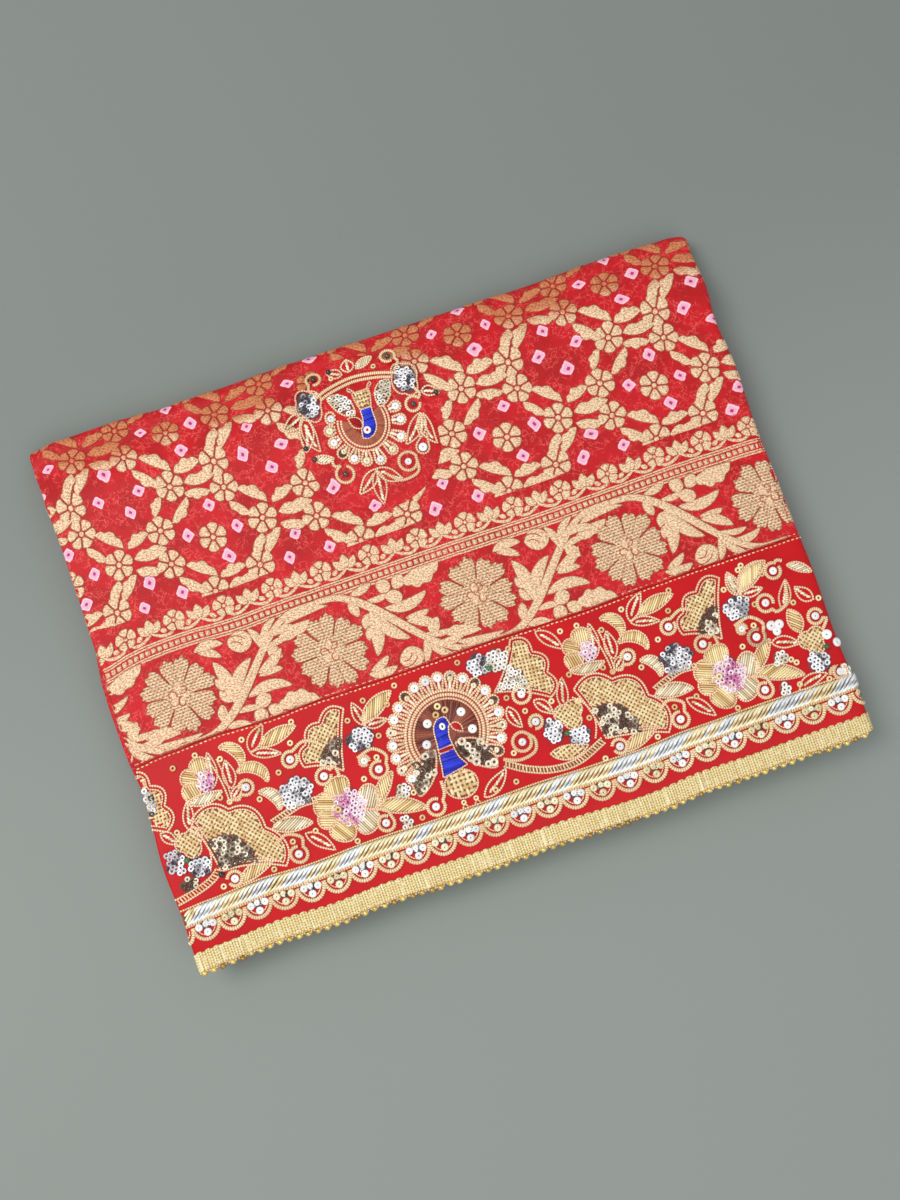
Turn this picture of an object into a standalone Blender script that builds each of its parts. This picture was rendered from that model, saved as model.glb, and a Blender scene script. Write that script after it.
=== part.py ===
"""Odhni (stole) of red brocade, folded to a flat packet that lies on a surface.

The whole cloth is one sheet. It is first folded to and fro across its length, which makes a strip of
six plies, and the strip is then folded in three, like a letter. The top ply lies right side up, its
hem with the lace hangs over the front fold, and the back fold is a soft nose.

X runs along the hem, -Y is the hem side, +Z is up, and z = 0 is the flat underside.
Every solid is given in cloth coordinates, u along the cloth and v from the hem into it, with a height h
above the sheet's middle, and folded by the same functions, so that the pieces follow each other.
"""

import math

import bmesh
import bpy
import numpy as np

# Packet, in metres
WIDTH = 0.420
DEPTH = 0.3255
SHEET = 0.0010
PLY_PITCH = 0.00145
PLIES = 6
STRIP_GAP = 0.00045
PIECE_GAP = 0.0003

# Cloth coordinates v of the seams, measured from the hem of the satin band
LACE_REACH = 0.0140
LACE_EDGE = -0.0105
BAND_EDGE = 0.1120

# Fold line across the length
INNER_FOLD_INSET = 0.0005
FREE_END_INSET = 0.004
PLY_SEGMENTS = 6
TIGHT_FOLD_SEGMENTS = 4
WRAP_SEGMENTS = 6

# Letter fold
FRONT_FOLD_RECESS = 0.018
INNER_RUN_SHORT = 0.036
HEM_DROOP = 0.0026
HEM_SWELL = 0.22
HEM_SWELL_REACH = 0.13
FOLD_SEGMENTS = 6
TOP_SEGMENTS = 4
SLOPE_SEGMENTS = 6
LOWER_SEGMENTS = 4
INNER_SEGMENTS = 3
BAND_SEGMENTS = 3
LACE_SEGMENTS = 2

# Rope couched along the band, and the twist of its strands
ROPE_V = 0.0198
ROPE_WIDTH = 0.0072
ROPE_HEIGHT = 0.0024
ROPE_STRAND = 0.0120
ROPE_RIDGE = 0.22
ROPE_STEPS = 3
ROPE_PROFILE = 5
ROPE_FOOT = 0.0004
ROPE_TURN_DEG = 95

# Satin patch with the drop figure
PATCH_X = -0.0150
PATCH_V = 0.2545
PATCH_HALF_WIDTH = 0.0400
PATCH_HALF_LENGTH = 0.0480
PATCH_TAPER = 0.16
PATCH_ROWS = 6
PATCH_COLUMNS = 5
PATCH_TIP_SHARE = 0.985

# How far the edges of the packet stray outward from the rectangle, in mm.
# Columns: share of the depth from hem to back fold, left edge, right edge.
SIDE_EDGES = (
    (0.00, 0.0, 0.0),
    (0.10, -0.6, -1.0),
    (0.20, 0.9, -1.9),
    (0.32, -1.5, -0.9),
    (0.48, -0.9, -2.2),
    (0.60, -1.7, -3.4),
    (0.72, -2.1, -2.4),
    (0.82, -2.2, -4.3),
    (0.90, -0.9, -2.1),
    (0.96, 0.6, -1.7),
    (1.00, 1.0, -0.2),
)

# Columns: share of the width from left to right, hem edge, back edge.
END_EDGES = (
    (0.00, 0.0, -1.8),
    (0.04, -0.8, 0.6),
    (0.12, -2.2, 0.9),
    (0.20, -0.6, -0.7),
    (0.27, -1.7, -0.4),
    (0.38, -0.2, 0.3),
    (0.49, -0.5, 0.1),
    (0.67, 1.6, -0.2),
    (0.75, 0.1, -0.6),
    (0.86, 0.3, 0.5),
    (0.97, 0.9, -0.2),
    (1.00, 0.2, -2.0),
)

# Soft rises of the top, as shares of the height.
# Columns: x, y, reach in x, reach in y, rise.
SWELLS = (
    (-0.150, -0.120, 0.080, 0.060, 0.016),
    (-0.020, -0.100, 0.090, 0.060, -0.012),
    (0.120, -0.125, 0.085, 0.055, 0.018),
    (-0.100, 0.010, 0.090, 0.060, -0.016),
    (0.060, -0.020, 0.095, 0.065, 0.014),
    (0.170, 0.030, 0.080, 0.070, -0.014),
    (-0.160, 0.090, 0.080, 0.065, 0.014),
    (0.020, 0.095, 0.090, 0.060, -0.012),
    (0.140, 0.110, 0.080, 0.060, 0.016),
)

# The second fold on the left side slips out from under the top one here.
# Columns: share of the depth, slip outward in mm.
LEFT_SLIP = (
    (0.00, -1.2),
    (0.18, -0.9),
    (0.30, -0.6),
    (0.42, 2.6),
    (0.54, 3.0),
    (0.64, 0.0),
    (0.80, -1.0),
    (1.00, -1.4),
)
SLIP_REACH = 0.055

# Worked out from the sizes above
LEFT = -WIDTH / 2
RIGHT = WIDTH / 2
TIGHT_RADIUS = PLY_PITCH / 2
WRAP_RADIUS = (PLIES - 1) * PLY_PITCH / 2
STRIP_IN = PLY_PITCH / 2 - SHEET / 2
STRIP_OUT = (PLIES - 0.5) * PLY_PITCH + SHEET / 2
WRAP_X = RIGHT - WRAP_RADIUS - SHEET / 2
RIGHT_FOLD_X = WRAP_X - INNER_FOLD_INSET
LEFT_FOLD_X = LEFT + TIGHT_RADIUS + SHEET / 2
HEM_Y = -DEPTH / 2 + LACE_REACH
FRONT_Y = -DEPTH / 2 + FRONT_FOLD_RECESS + STRIP_OUT
NOSE_Y = DEPTH / 2 - STRIP_OUT
INNER_RUN_Y = NOSE_Y - INNER_RUN_SHORT
LOW_Z = STRIP_OUT
HIGH_Z = LOW_Z + STRIP_OUT + STRIP_GAP - STRIP_IN
FOLD_LENGTH = math.pi * STRIP_OUT
NOSE_V = NOSE_Y - HEM_Y
LOWER_V = NOSE_V + FOLD_LENGTH
FRONT_V = LOWER_V + NOSE_Y - FRONT_Y
INNER_V = FRONT_V + FOLD_LENGTH
END_V = INNER_V + INNER_RUN_Y - FRONT_Y


def smooth(share):
    share = np.clip(share, 0.0, 1.0)
    return share * share * (3.0 - 2.0 * share)


def eased(table, column, share):
    """The column of a table at a share, with a smooth step between its rows."""
    rows = np.array(table)
    row = np.clip(np.searchsorted(rows[:, 0], share, side="right") - 1, 0, len(rows) - 2)
    start, end = rows[row, 0], rows[row + 1, 0]
    step = smooth((share - start) / (end - start))
    return rows[row, column] * (1.0 - step) + rows[row + 1, column] * step


def straight(ply, x_start, x_end, segments):
    """Stations (x, e, normal x, normal e) along one ply. Its right side faces the travel's left.

    Between its ends every ply has its stations at the same x, so that the layers stay parallel.
    """
    inner = np.linspace(LEFT, RIGHT, segments + 1)[1:-1]
    shared = np.concatenate([[LEFT + FREE_END_INSET], inner, [RIGHT - FREE_END_INSET]])
    low, high = min(x_start, x_end), max(x_start, x_end)
    between = shared[(shared > low) & (shared < high)]
    x = np.concatenate([[low], between, [high]])
    if x_end < x_start:
        x = x[::-1]
    height = (ply - 0.5) * PLY_PITCH
    facing = math.copysign(1.0, x_end - x_start)
    return np.stack([x, np.full_like(x, height), np.zeros_like(x), np.full_like(x, facing)], 1)


def turn(x, e, radius, start_deg, sweep_deg, segments):
    """Stations round a fold. A negative sweep is clockwise, with the right side outside."""
    angle = np.radians(start_deg + sweep_deg * np.linspace(0.0, 1.0, segments + 1))
    outward = -math.copysign(1.0, sweep_deg)
    across, along = np.cos(angle), np.sin(angle)
    return np.stack([x + radius * across, e + radius * along, outward * across, outward * along], 1)


def joined(pieces):
    """Pieces of a fold line as one, without the station that each shares with the one before."""
    return np.concatenate([pieces[0]] + [piece[1:] for piece in pieces[1:]])


def tight_fold(x, ply_below, sweep_deg):
    """Stations of the fold between a ply and the next one up, on the right or, clockwise, on the left."""
    start_deg = -90 if sweep_deg > 0 else 270
    return turn(x, ply_below * PLY_PITCH, TIGHT_RADIUS, start_deg, sweep_deg, TIGHT_FOLD_SEGMENTS)


def fold_line():
    """The section across the length, from ply 2's end to and fro up to ply 6, and round to ply 1's end."""
    free_end = LEFT + FREE_END_INSET
    return joined([
        straight(2, free_end, RIGHT_FOLD_X, PLY_SEGMENTS),
        tight_fold(RIGHT_FOLD_X, 2, 180),
        straight(3, RIGHT_FOLD_X, LEFT_FOLD_X, PLY_SEGMENTS),
        tight_fold(LEFT_FOLD_X, 3, -180),
        straight(4, LEFT_FOLD_X, RIGHT_FOLD_X, PLY_SEGMENTS),
        tight_fold(RIGHT_FOLD_X, 4, 180),
        straight(5, RIGHT_FOLD_X, LEFT_FOLD_X, PLY_SEGMENTS),
        tight_fold(LEFT_FOLD_X, 5, -180),
        straight(6, LEFT_FOLD_X, WRAP_X, PLY_SEGMENTS),
        turn(WRAP_X, 3 * PLY_PITCH, WRAP_RADIUS, 90, -180, WRAP_SEGMENTS),
        straight(1, WRAP_X, free_end, PLY_SEGMENTS),
    ])


def run_height(y):
    """Height and slope of the top run's inner face: flat, down to the nose, and drooping at the hem."""
    fall = (y - INNER_RUN_Y) / (NOSE_Y - INNER_RUN_Y)
    droop_length = FRONT_Y + DEPTH / 2
    droop = np.clip((FRONT_Y - y) / droop_length, 0.0, None)
    height = LOW_Z + (HIGH_Z - LOW_Z) * (1.0 - smooth(fall)) - HEM_DROOP * droop**2
    inside = np.clip(fall, 0.0, 1.0)
    slope = -(HIGH_Z - LOW_Z) * 6.0 * inside * (1.0 - inside) / (NOSE_Y - INNER_RUN_Y)
    slope = slope + 2.0 * HEM_DROOP * droop / droop_length
    return height, slope


def run_path(v):
    """The letter fold: y and z of the strip's inner face, and its outward normal, for each v."""
    on_top = HEM_Y + v
    height, slope = run_height(on_top)
    tilt = np.sqrt(1.0 + slope**2)
    nose = np.clip((v - NOSE_V) / STRIP_OUT, 0.0, math.pi)
    front = np.clip((v - FRONT_V) / STRIP_OUT, 0.0, math.pi)
    stretches = [v <= NOSE_V, v <= LOWER_V, v <= FRONT_V, v <= INNER_V]
    y = np.select(stretches, [on_top, NOSE_Y, NOSE_Y - (v - LOWER_V), FRONT_Y], FRONT_Y + (v - INNER_V))
    z = np.select(stretches[:1], [height], LOW_Z)
    normal_y = np.select(stretches, [-slope / tilt, np.sin(nose), 0.0, -np.sin(front)], 0.0)
    normal_z = np.select(stretches, [1.0 / tilt, np.cos(nose), -1.0, -np.cos(front)], 1.0)
    return y, z, normal_y, normal_z


def lay(x, y, z):
    """The packet as it lies: edges strayed as in the tables, the top softly uneven, the underside flat."""
    depth_share = np.clip(y / DEPTH + 0.5, 0.0, 1.0)
    width_share = np.clip(x / WIDTH + 0.5, 0.0, 1.0)
    left = eased(SIDE_EDGES, 1, depth_share)
    right = eased(SIDE_EDGES, 2, depth_share)
    hem = eased(END_EDGES, 1, width_share)
    back = eased(END_EDGES, 2, width_share)
    moved_x = x + 0.001 * (right * width_share - left * (1.0 - width_share))
    moved_y = y + 0.001 * (back * depth_share - hem * (1.0 - depth_share))
    rise = np.zeros_like(z)
    for centre_x, centre_y, reach_x, reach_y, share in SWELLS:
        rise = rise + share * np.exp(-(((x - centre_x) / reach_x) ** 2) - ((y - centre_y) / reach_y) ** 2)
    return moved_x, moved_y, z * (1.0 + rise)


def fold(stations, v, h):
    """Points in space for cloth stations (x, e, normal x, normal e), the distance v and the height h."""
    x, e, normal_x, normal_e = (stations[..., column] for column in range(4))
    y, z, normal_y, normal_z = run_path(v)
    depth_share = np.clip(y / DEPTH + 0.5, 0.0, 1.0)
    in_slip = (e > 2.3 * PLY_PITCH) & (e < 3.7 * PLY_PITCH)
    slip = np.where(in_slip, np.clip(1.0 - (x - LEFT) / SLIP_REACH, 0.0, 1.0), 0.0)
    shifted = x - 0.001 * slip * eased(LEFT_SLIP, 1, depth_share)
    swell = 1.0 + HEM_SWELL * (1.0 - smooth(v / HEM_SWELL_REACH))
    across = shifted + normal_x * h
    outward = e * swell + normal_e * h
    return np.stack(lay(across, y + normal_y * outward, z + normal_z * outward), -1)


def swept(name, stations, ring, material):
    """A closed solid: one ring of (v, h) points carried along the stations."""
    ring = np.asarray(ring)
    rings = fold(stations[:, None, :], ring[None, :, 0], ring[None, :, 1])
    return closed_rings(name, rings, material)


def closed_rings(name, rings, material):
    """A solid through rings of points, closed at both ends.

    Each ring goes out along one side and comes back along the other, with as many points on each.
    """
    bm = bmesh.new()
    rows = [[bm.verts.new(point) for point in ring] for ring in rings]
    count = len(rows[0])
    for row, following in zip(rows, rows[1:]):
        for index in range(count):
            after = (index + 1) % count
            bm.faces.new((row[index], row[after], following[after], following[index]))
    for row in (rows[0], rows[-1]):
        for index in range(count // 2 - 1):
            opposite = count - 1 - index
            bm.faces.new((row[index], row[index + 1], row[opposite - 1], row[opposite]))
    return finished(name, bm, material)


def finished(name, bm, material):
    """The object made from a bmesh, with its faces turned outward."""
    bmesh.ops.recalc_face_normals(bm, faces=bm.faces)
    if bm.calc_volume(signed=True) < 0:
        bmesh.ops.reverse_faces(bm, faces=bm.faces)
    mesh = bpy.data.meshes.new(name)
    bm.to_mesh(mesh)
    bm.free()
    mesh.materials.append(material)
    mesh.shade_smooth()
    mesh.set_sharp_from_angle(angle=math.radians(40))
    obj = bpy.data.objects.new(name, mesh)
    bpy.context.scene.collection.objects.link(obj)
    return obj


def sheet_ring(edges):
    """The ring of a plain sheet between the first and the last of the v values."""
    out = [(v, SHEET / 2) for v in edges]
    back = [(v, -SHEET / 2) for v in reversed(edges)]
    return out + back


def panel_edges():
    """Values of v along the brocade panel, from its seam over the nose and under to its hidden end."""
    slope_v = INNER_RUN_Y - HEM_Y
    stretches = (
        (BAND_EDGE + PIECE_GAP, slope_v, TOP_SEGMENTS),
        (slope_v, NOSE_V, SLOPE_SEGMENTS),
        (NOSE_V, LOWER_V, FOLD_SEGMENTS),
        (LOWER_V, FRONT_V, LOWER_SEGMENTS),
        (FRONT_V, INNER_V, FOLD_SEGMENTS),
        (INNER_V, END_V, INNER_SEGMENTS),
    )
    edges = [stretches[0][0]]
    for start, end, segments in stretches:
        edges += list(np.linspace(start, end, segments + 1)[1:])
    return edges


def band_edges():
    """Values of v along the satin band, with one on each side of the rope that lies on it."""
    behind_rope = ROPE_V + ROPE_WIDTH
    return [0.0, ROPE_V - ROPE_WIDTH, *np.linspace(behind_rope, BAND_EDGE, BAND_SEGMENTS)]


def rope_stations():
    """Stations of the top ply from the left fold, along the packet and partly round the right fold."""
    strands = round((WRAP_X - LEFT_FOLD_X) / ROPE_STRAND)
    along = straight(6, LEFT_FOLD_X, WRAP_X, strands * ROPE_STEPS)
    along[:, 0] = np.linspace(LEFT_FOLD_X, WRAP_X, len(along))
    turned = ROPE_TURN_DEG
    return joined([
        turn(LEFT_FOLD_X, 5 * PLY_PITCH, TIGHT_RADIUS, 90 + turned, -turned, TIGHT_FOLD_SEGMENTS),
        along,
        turn(WRAP_X, 3 * PLY_PITCH, WRAP_RADIUS, 90, -turned, WRAP_SEGMENTS),
    ])


def rope(material):
    """The twisted line: a low dome whose top swells on each slanting strand."""
    stations = rope_stations()
    foot = SHEET / 2 + PIECE_GAP
    across = np.linspace(-0.5, 0.5, ROPE_PROFILE)
    rings = []
    for number, station in enumerate(stations):
        phase = 2.0 * math.pi * (number / ROPE_STEPS + across)
        dome = np.sqrt(np.clip(1.0 - (1.8 * across) ** 2, 0.0, 1.0))
        ridge = 1.0 + ROPE_RIDGE * np.cos(phase)
        top = foot + ROPE_FOOT + (ROPE_HEIGHT - ROPE_FOOT) * dome * ridge / (1.0 + ROPE_RIDGE)
        v = ROPE_V + across * ROPE_WIDTH
        ring_v = np.concatenate([v, v[::-1]])
        ring_h = np.concatenate([top, np.full(ROPE_PROFILE, foot)])
        rings.append(fold(np.broadcast_to(station, (len(ring_v), 4)), ring_v, ring_h))
    return closed_rings("rope", rings, material)


def patch_half_width(v):
    """Half the patch's width at a distance v: an oval, broader on the hem side."""
    along = np.clip((v - PATCH_V) / PATCH_HALF_LENGTH, -PATCH_TIP_SHARE, PATCH_TIP_SHARE)
    return PATCH_HALF_WIDTH * np.sqrt(1.0 - along**2) * (1.0 - PATCH_TAPER * along)


def patch(material):
    """The satin patch on the top ply: rows across it, closer together where the ply slopes."""
    start, end = PATCH_V - PATCH_HALF_LENGTH, PATCH_V + PATCH_HALF_LENGTH
    slope_v = INNER_RUN_Y - HEM_Y
    closer_at_tip = 1.0 - np.cos(0.5 * math.pi * np.linspace(0.0, 1.0, PATCH_ROWS + 1))
    level_rows = start + (slope_v - start) * closer_at_tip
    slope_rows = [v for v in panel_edges() if slope_v < v < end]
    low = SHEET / 2 + PIECE_GAP
    share = np.linspace(-1.0, 1.0, PATCH_COLUMNS)
    ring_share = np.concatenate([share, share[::-1]])
    ring_h = np.concatenate([np.full(PATCH_COLUMNS, low + SHEET), np.full(PATCH_COLUMNS, low)])
    top_ply = straight(6, LEFT, RIGHT, 1)[0]
    rings = []
    for v in [*level_rows, *slope_rows, end]:
        stations = np.broadcast_to(top_ply, (len(ring_share), 4)).copy()
        stations[:, 0] = PATCH_X + ring_share * patch_half_width(v)
        rings.append(fold(stations, np.full(len(ring_share), v), ring_h))
    return closed_rings("butta", rings, material)


def cloth_material(name, colour, roughness, metallic):
    material = bpy.data.materials.new(name)
    material.use_nodes = True
    shader = material.node_tree.nodes["Principled BSDF"]
    shader.inputs["Base Color"].default_value = (*colour, 1.0)
    shader.inputs["Roughness"].default_value = roughness
    shader.inputs["Metallic"].default_value = metallic
    return material


def centre_on_origin(objects):
    """Moves the meshes so that the packet's box is centred over the origin, its underside at z = 0."""
    points = np.concatenate([[vertex.co[:] for vertex in obj.data.vertices] for obj in objects])
    middle = (points.min(axis=0) + points.max(axis=0)) / 2
    for obj in objects:
        for vertex in obj.data.vertices:
            vertex.co.x -= middle[0]
            vertex.co.y -= middle[1]


def main():
    for obj in list(bpy.data.objects):
        bpy.data.objects.remove(obj)
    silk = cloth_material("red_silk", (0.42, 0.012, 0.014), 0.55, 0.0)
    satin = cloth_material("red_satin", (0.47, 0.010, 0.012), 0.42, 0.0)
    gold = cloth_material("gold_thread", (0.72, 0.42, 0.16), 0.38, 0.85)
    line = fold_line()
    objects = [
        swept("cloth", line, sheet_ring(panel_edges()), silk),
        swept("band", line, sheet_ring(band_edges()), satin),
        swept("lace", line, sheet_ring(list(np.linspace(LACE_EDGE, -PIECE_GAP, LACE_SEGMENTS + 1))), gold),
        rope(gold),
        patch(satin),
    ]
    centre_on_origin(objects)


main()
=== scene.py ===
"""Looks of the folded odhni: silk with gold brocade and tied dots, the satin end and the beaded lace.

Every piece is laid out flat in cloth millimetres, u along the cloth and v from the hem into it, with a
height h above the right side, and then folded by the same rule as the solids.
"""

import math

import bmesh
import bpy
import numpy as np
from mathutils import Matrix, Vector
from mathutils.geometry import delaunay_2d_cdt


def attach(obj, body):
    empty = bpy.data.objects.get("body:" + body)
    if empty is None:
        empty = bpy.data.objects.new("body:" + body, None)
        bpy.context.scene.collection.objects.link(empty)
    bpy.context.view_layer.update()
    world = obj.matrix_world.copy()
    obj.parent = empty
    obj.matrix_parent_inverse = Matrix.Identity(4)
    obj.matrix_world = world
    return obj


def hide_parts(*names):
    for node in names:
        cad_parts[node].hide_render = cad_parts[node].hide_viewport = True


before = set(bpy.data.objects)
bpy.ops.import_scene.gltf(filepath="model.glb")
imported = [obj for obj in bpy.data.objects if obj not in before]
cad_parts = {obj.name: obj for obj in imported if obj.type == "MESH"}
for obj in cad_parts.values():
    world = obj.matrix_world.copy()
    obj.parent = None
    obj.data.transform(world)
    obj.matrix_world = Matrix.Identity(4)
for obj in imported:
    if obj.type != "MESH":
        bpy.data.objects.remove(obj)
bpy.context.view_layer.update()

MM = 0.001
RANDOM = np.random.default_rng(11)

# the fold, in metres, as in the solids
WIDTH = 0.420
DEPTH = 0.3255
SHEET = 0.0010
PLY_PITCH = 0.00145
LACE_REACH = 0.0140
LACE_EDGE = -0.0105
BAND_EDGE = 0.1120
PIECE_GAP = 0.0003
INNER_FOLD_INSET = 0.0005
FREE_END_INSET = 0.004
FRONT_FOLD_RECESS = 0.018
INNER_RUN_SHORT = 0.036
STRIP_GAP = 0.00045
HEM_DROOP = 0.0026
HEM_SWELL = 0.22
HEM_SWELL_REACH = 0.13
PACKET_SHIFT = (0.00025853, -0.0002642)
ROPE_V = 0.0198
PATCH_X = -0.0150
PATCH_V = 0.2545
PATCH_HALF_WIDTH = 0.0400
PATCH_HALF_LENGTH = 0.0480
PATCH_TAPER = 0.16

# Columns: share of the depth from hem to back fold, left edge, right edge, outward in mm.
SIDE_EDGES = (
    (0.00, 0.0, 0.0),
    (0.10, -0.6, -1.0),
    (0.20, 0.9, -1.9),
    (0.32, -1.5, -0.9),
    (0.48, -0.9, -2.2),
    (0.60, -1.7, -3.4),
    (0.72, -2.1, -2.4),
    (0.82, -2.2, -4.3),
    (0.90, -0.9, -2.1),
    (0.96, 0.6, -1.7),
    (1.00, 1.0, -0.2),
)

# Columns: share of the width from left to right, hem edge, back edge, outward in mm.
END_EDGES = (
    (0.00, 0.0, -1.8),
    (0.04, -0.8, 0.6),
    (0.12, -2.2, 0.9),
    (0.20, -0.6, -0.7),
    (0.27, -1.7, -0.4),
    (0.38, -0.2, 0.3),
    (0.49, -0.5, 0.1),
    (0.67, 1.6, -0.2),
    (0.75, 0.1, -0.6),
    (0.86, 0.3, 0.5),
    (0.97, 0.9, -0.2),
    (1.00, 0.2, -2.0),
)

# Columns: x, y, reach in x, reach in y, rise as a share of the height.
SWELLS = (
    (-0.150, -0.120, 0.080, 0.060, 0.016),
    (-0.020, -0.100, 0.090, 0.060, -0.012),
    (0.120, -0.125, 0.085, 0.055, 0.018),
    (-0.100, 0.010, 0.090, 0.060, -0.016),
    (0.060, -0.020, 0.095, 0.065, 0.014),
    (0.170, 0.030, 0.080, 0.070, -0.014),
    (-0.160, 0.090, 0.080, 0.065, 0.014),
    (0.020, 0.095, 0.090, 0.060, -0.012),
    (0.140, 0.110, 0.080, 0.060, 0.016),
)

# Columns: share of the depth, slip of the second left fold outward in mm.
LEFT_SLIP = (
    (0.00, -1.2),
    (0.18, -0.9),
    (0.30, -0.6),
    (0.42, 2.6),
    (0.54, 3.0),
    (0.64, 0.0),
    (0.80, -1.0),
    (1.00, -1.4),
)
SLIP_REACH = 0.055

LEFT = -WIDTH / 2
RIGHT = WIDTH / 2
TIGHT_RADIUS = PLY_PITCH / 2
WRAP_RADIUS = 2.5 * PLY_PITCH
STRIP_IN = PLY_PITCH / 2 - SHEET / 2
STRIP_OUT = 5.5 * PLY_PITCH + SHEET / 2
WRAP_X = RIGHT - WRAP_RADIUS - SHEET / 2
RIGHT_FOLD_X = WRAP_X - INNER_FOLD_INSET
LEFT_FOLD_X = LEFT + TIGHT_RADIUS + SHEET / 2
HEM_Y = -DEPTH / 2 + LACE_REACH
FRONT_Y = -DEPTH / 2 + FRONT_FOLD_RECESS + STRIP_OUT
NOSE_Y = DEPTH / 2 - STRIP_OUT
INNER_RUN_Y = NOSE_Y - INNER_RUN_SHORT
LOW_Z = STRIP_OUT
HIGH_Z = LOW_Z + STRIP_OUT + STRIP_GAP - STRIP_IN
FOLD_LENGTH = math.pi * STRIP_OUT
NOSE_V = NOSE_Y - HEM_Y
LOWER_V = NOSE_V + FOLD_LENGTH
FRONT_V = LOWER_V + NOSE_Y - FRONT_Y
INNER_V = FRONT_V + FOLD_LENGTH
END_V = INNER_V + INNER_RUN_Y - FRONT_Y

# Creases of the top layer. Columns: u and v of one end, u and v of the other, half width, rise, in mm.
CREASES = (
    (-212, 114.6, 60, 113.8, 2.0, 0.16),
    (60, 113.8, 214, 114.4, 2.2, 0.12),
    (-60, -2, -36, 6, 1.6, 0.20),
    (-205, 3.0, -120, 2.2, 2.2, 0.14),
    (20, 2.0, 120, 3.2, 2.4, 0.12),
    (150, 3.0, 208, 4.5, 2.0, 0.16),
    (-190, 205, -150, 262, 5.0, 0.22),
    (96, 262, 150, 240, 5.0, 0.18),
    (-120, 196, -60, 202, 4.0, 0.16),
    (20, 275, 90, 290, 4.5, 0.20),
    (165, 150, 206, 176, 5.0, 0.24),
    (-208, 140, -180, 168, 4.0, 0.18),
    (120, 108, 160, 96, 3.0, 0.12),
)


def smooth(share):
    share = np.clip(share, 0.0, 1.0)
    return share * share * (3.0 - 2.0 * share)


def eased(table, column, share):
    """The column of a table at a share, with a smooth step between its rows."""
    rows = np.array(table)
    row = np.clip(np.searchsorted(rows[:, 0], share, side="right") - 1, 0, len(rows) - 2)
    start, end = rows[row, 0], rows[row + 1, 0]
    step = smooth((share - start) / (end - start))
    return rows[row, column] * (1.0 - step) + rows[row + 1, column] * step


def run_height(y):
    fall = (y - INNER_RUN_Y) / (NOSE_Y - INNER_RUN_Y)
    droop_length = FRONT_Y + DEPTH / 2
    droop = np.clip((FRONT_Y - y) / droop_length, 0.0, None)
    height = LOW_Z + (HIGH_Z - LOW_Z) * (1.0 - smooth(fall)) - HEM_DROOP * droop**2
    inside = np.clip(fall, 0.0, 1.0)
    slope = -(HIGH_Z - LOW_Z) * 6.0 * inside * (1.0 - inside) / (NOSE_Y - INNER_RUN_Y)
    slope = slope + 2.0 * HEM_DROOP * droop / droop_length
    return height, slope


def run_path(v):
    """The letter fold: y and z of the strip's inner face, and its outward normal, for each v."""
    on_top = HEM_Y + v
    height, slope = run_height(on_top)
    tilt = np.sqrt(1.0 + slope**2)
    nose = np.clip((v - NOSE_V) / STRIP_OUT, 0.0, math.pi)
    front = np.clip((v - FRONT_V) / STRIP_OUT, 0.0, math.pi)
    stretches = [v <= NOSE_V, v <= LOWER_V, v <= FRONT_V, v <= INNER_V]
    y = np.select(stretches, [on_top, NOSE_Y, NOSE_Y - (v - LOWER_V), FRONT_Y], FRONT_Y + (v - INNER_V))
    z = np.select(stretches[:1], [height], LOW_Z)
    normal_y = np.select(stretches, [-slope / tilt, np.sin(nose), 0.0, -np.sin(front)], 0.0)
    normal_z = np.select(stretches, [1.0 / tilt, np.cos(nose), -1.0, -np.cos(front)], 1.0)
    return y, z, normal_y, normal_z


def lay(x, y, z):
    """The packet as it lies: edges strayed as in the tables, the top softly uneven."""
    depth_share = np.clip(y / DEPTH + 0.5, 0.0, 1.0)
    width_share = np.clip(x / WIDTH + 0.5, 0.0, 1.0)
    left = eased(SIDE_EDGES, 1, depth_share)
    right = eased(SIDE_EDGES, 2, depth_share)
    hem = eased(END_EDGES, 1, width_share)
    back = eased(END_EDGES, 2, width_share)
    moved_x = x + 0.001 * (right * width_share - left * (1.0 - width_share))
    moved_y = y + 0.001 * (back * depth_share - hem * (1.0 - depth_share))
    rise = np.zeros_like(z)
    for centre_x, centre_y, reach_x, reach_y, share in SWELLS:
        rise = rise + share * np.exp(-(((x - centre_x) / reach_x) ** 2) - ((y - centre_y) / reach_y) ** 2)
    return moved_x, moved_y, z * (1.0 + rise)


def fold(stations, v, h):
    """Points in space for cloth stations (x, e, normal x, normal e), the distance v and the height h."""
    x, e, normal_x, normal_e = (stations[..., column] for column in range(4))
    y, z, normal_y, normal_z = run_path(v)
    depth_share = np.clip(y / DEPTH + 0.5, 0.0, 1.0)
    in_slip = (e > 2.3 * PLY_PITCH) & (e < 3.7 * PLY_PITCH)
    slip = np.where(in_slip, np.clip(1.0 - (x - LEFT) / SLIP_REACH, 0.0, 1.0), 0.0)
    shifted = x - 0.001 * slip * eased(LEFT_SLIP, 1, depth_share)
    swell = 1.0 + HEM_SWELL * (1.0 - smooth(v / HEM_SWELL_REACH))
    across = shifted + normal_x * h
    outward = e * swell + normal_e * h
    moved_x, moved_y, moved_z = lay(across, y + normal_y * outward, z + normal_z * outward)
    return np.stack([moved_x + PACKET_SHIFT[0], moved_y + PACKET_SHIFT[1], moved_z], -1)


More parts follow.
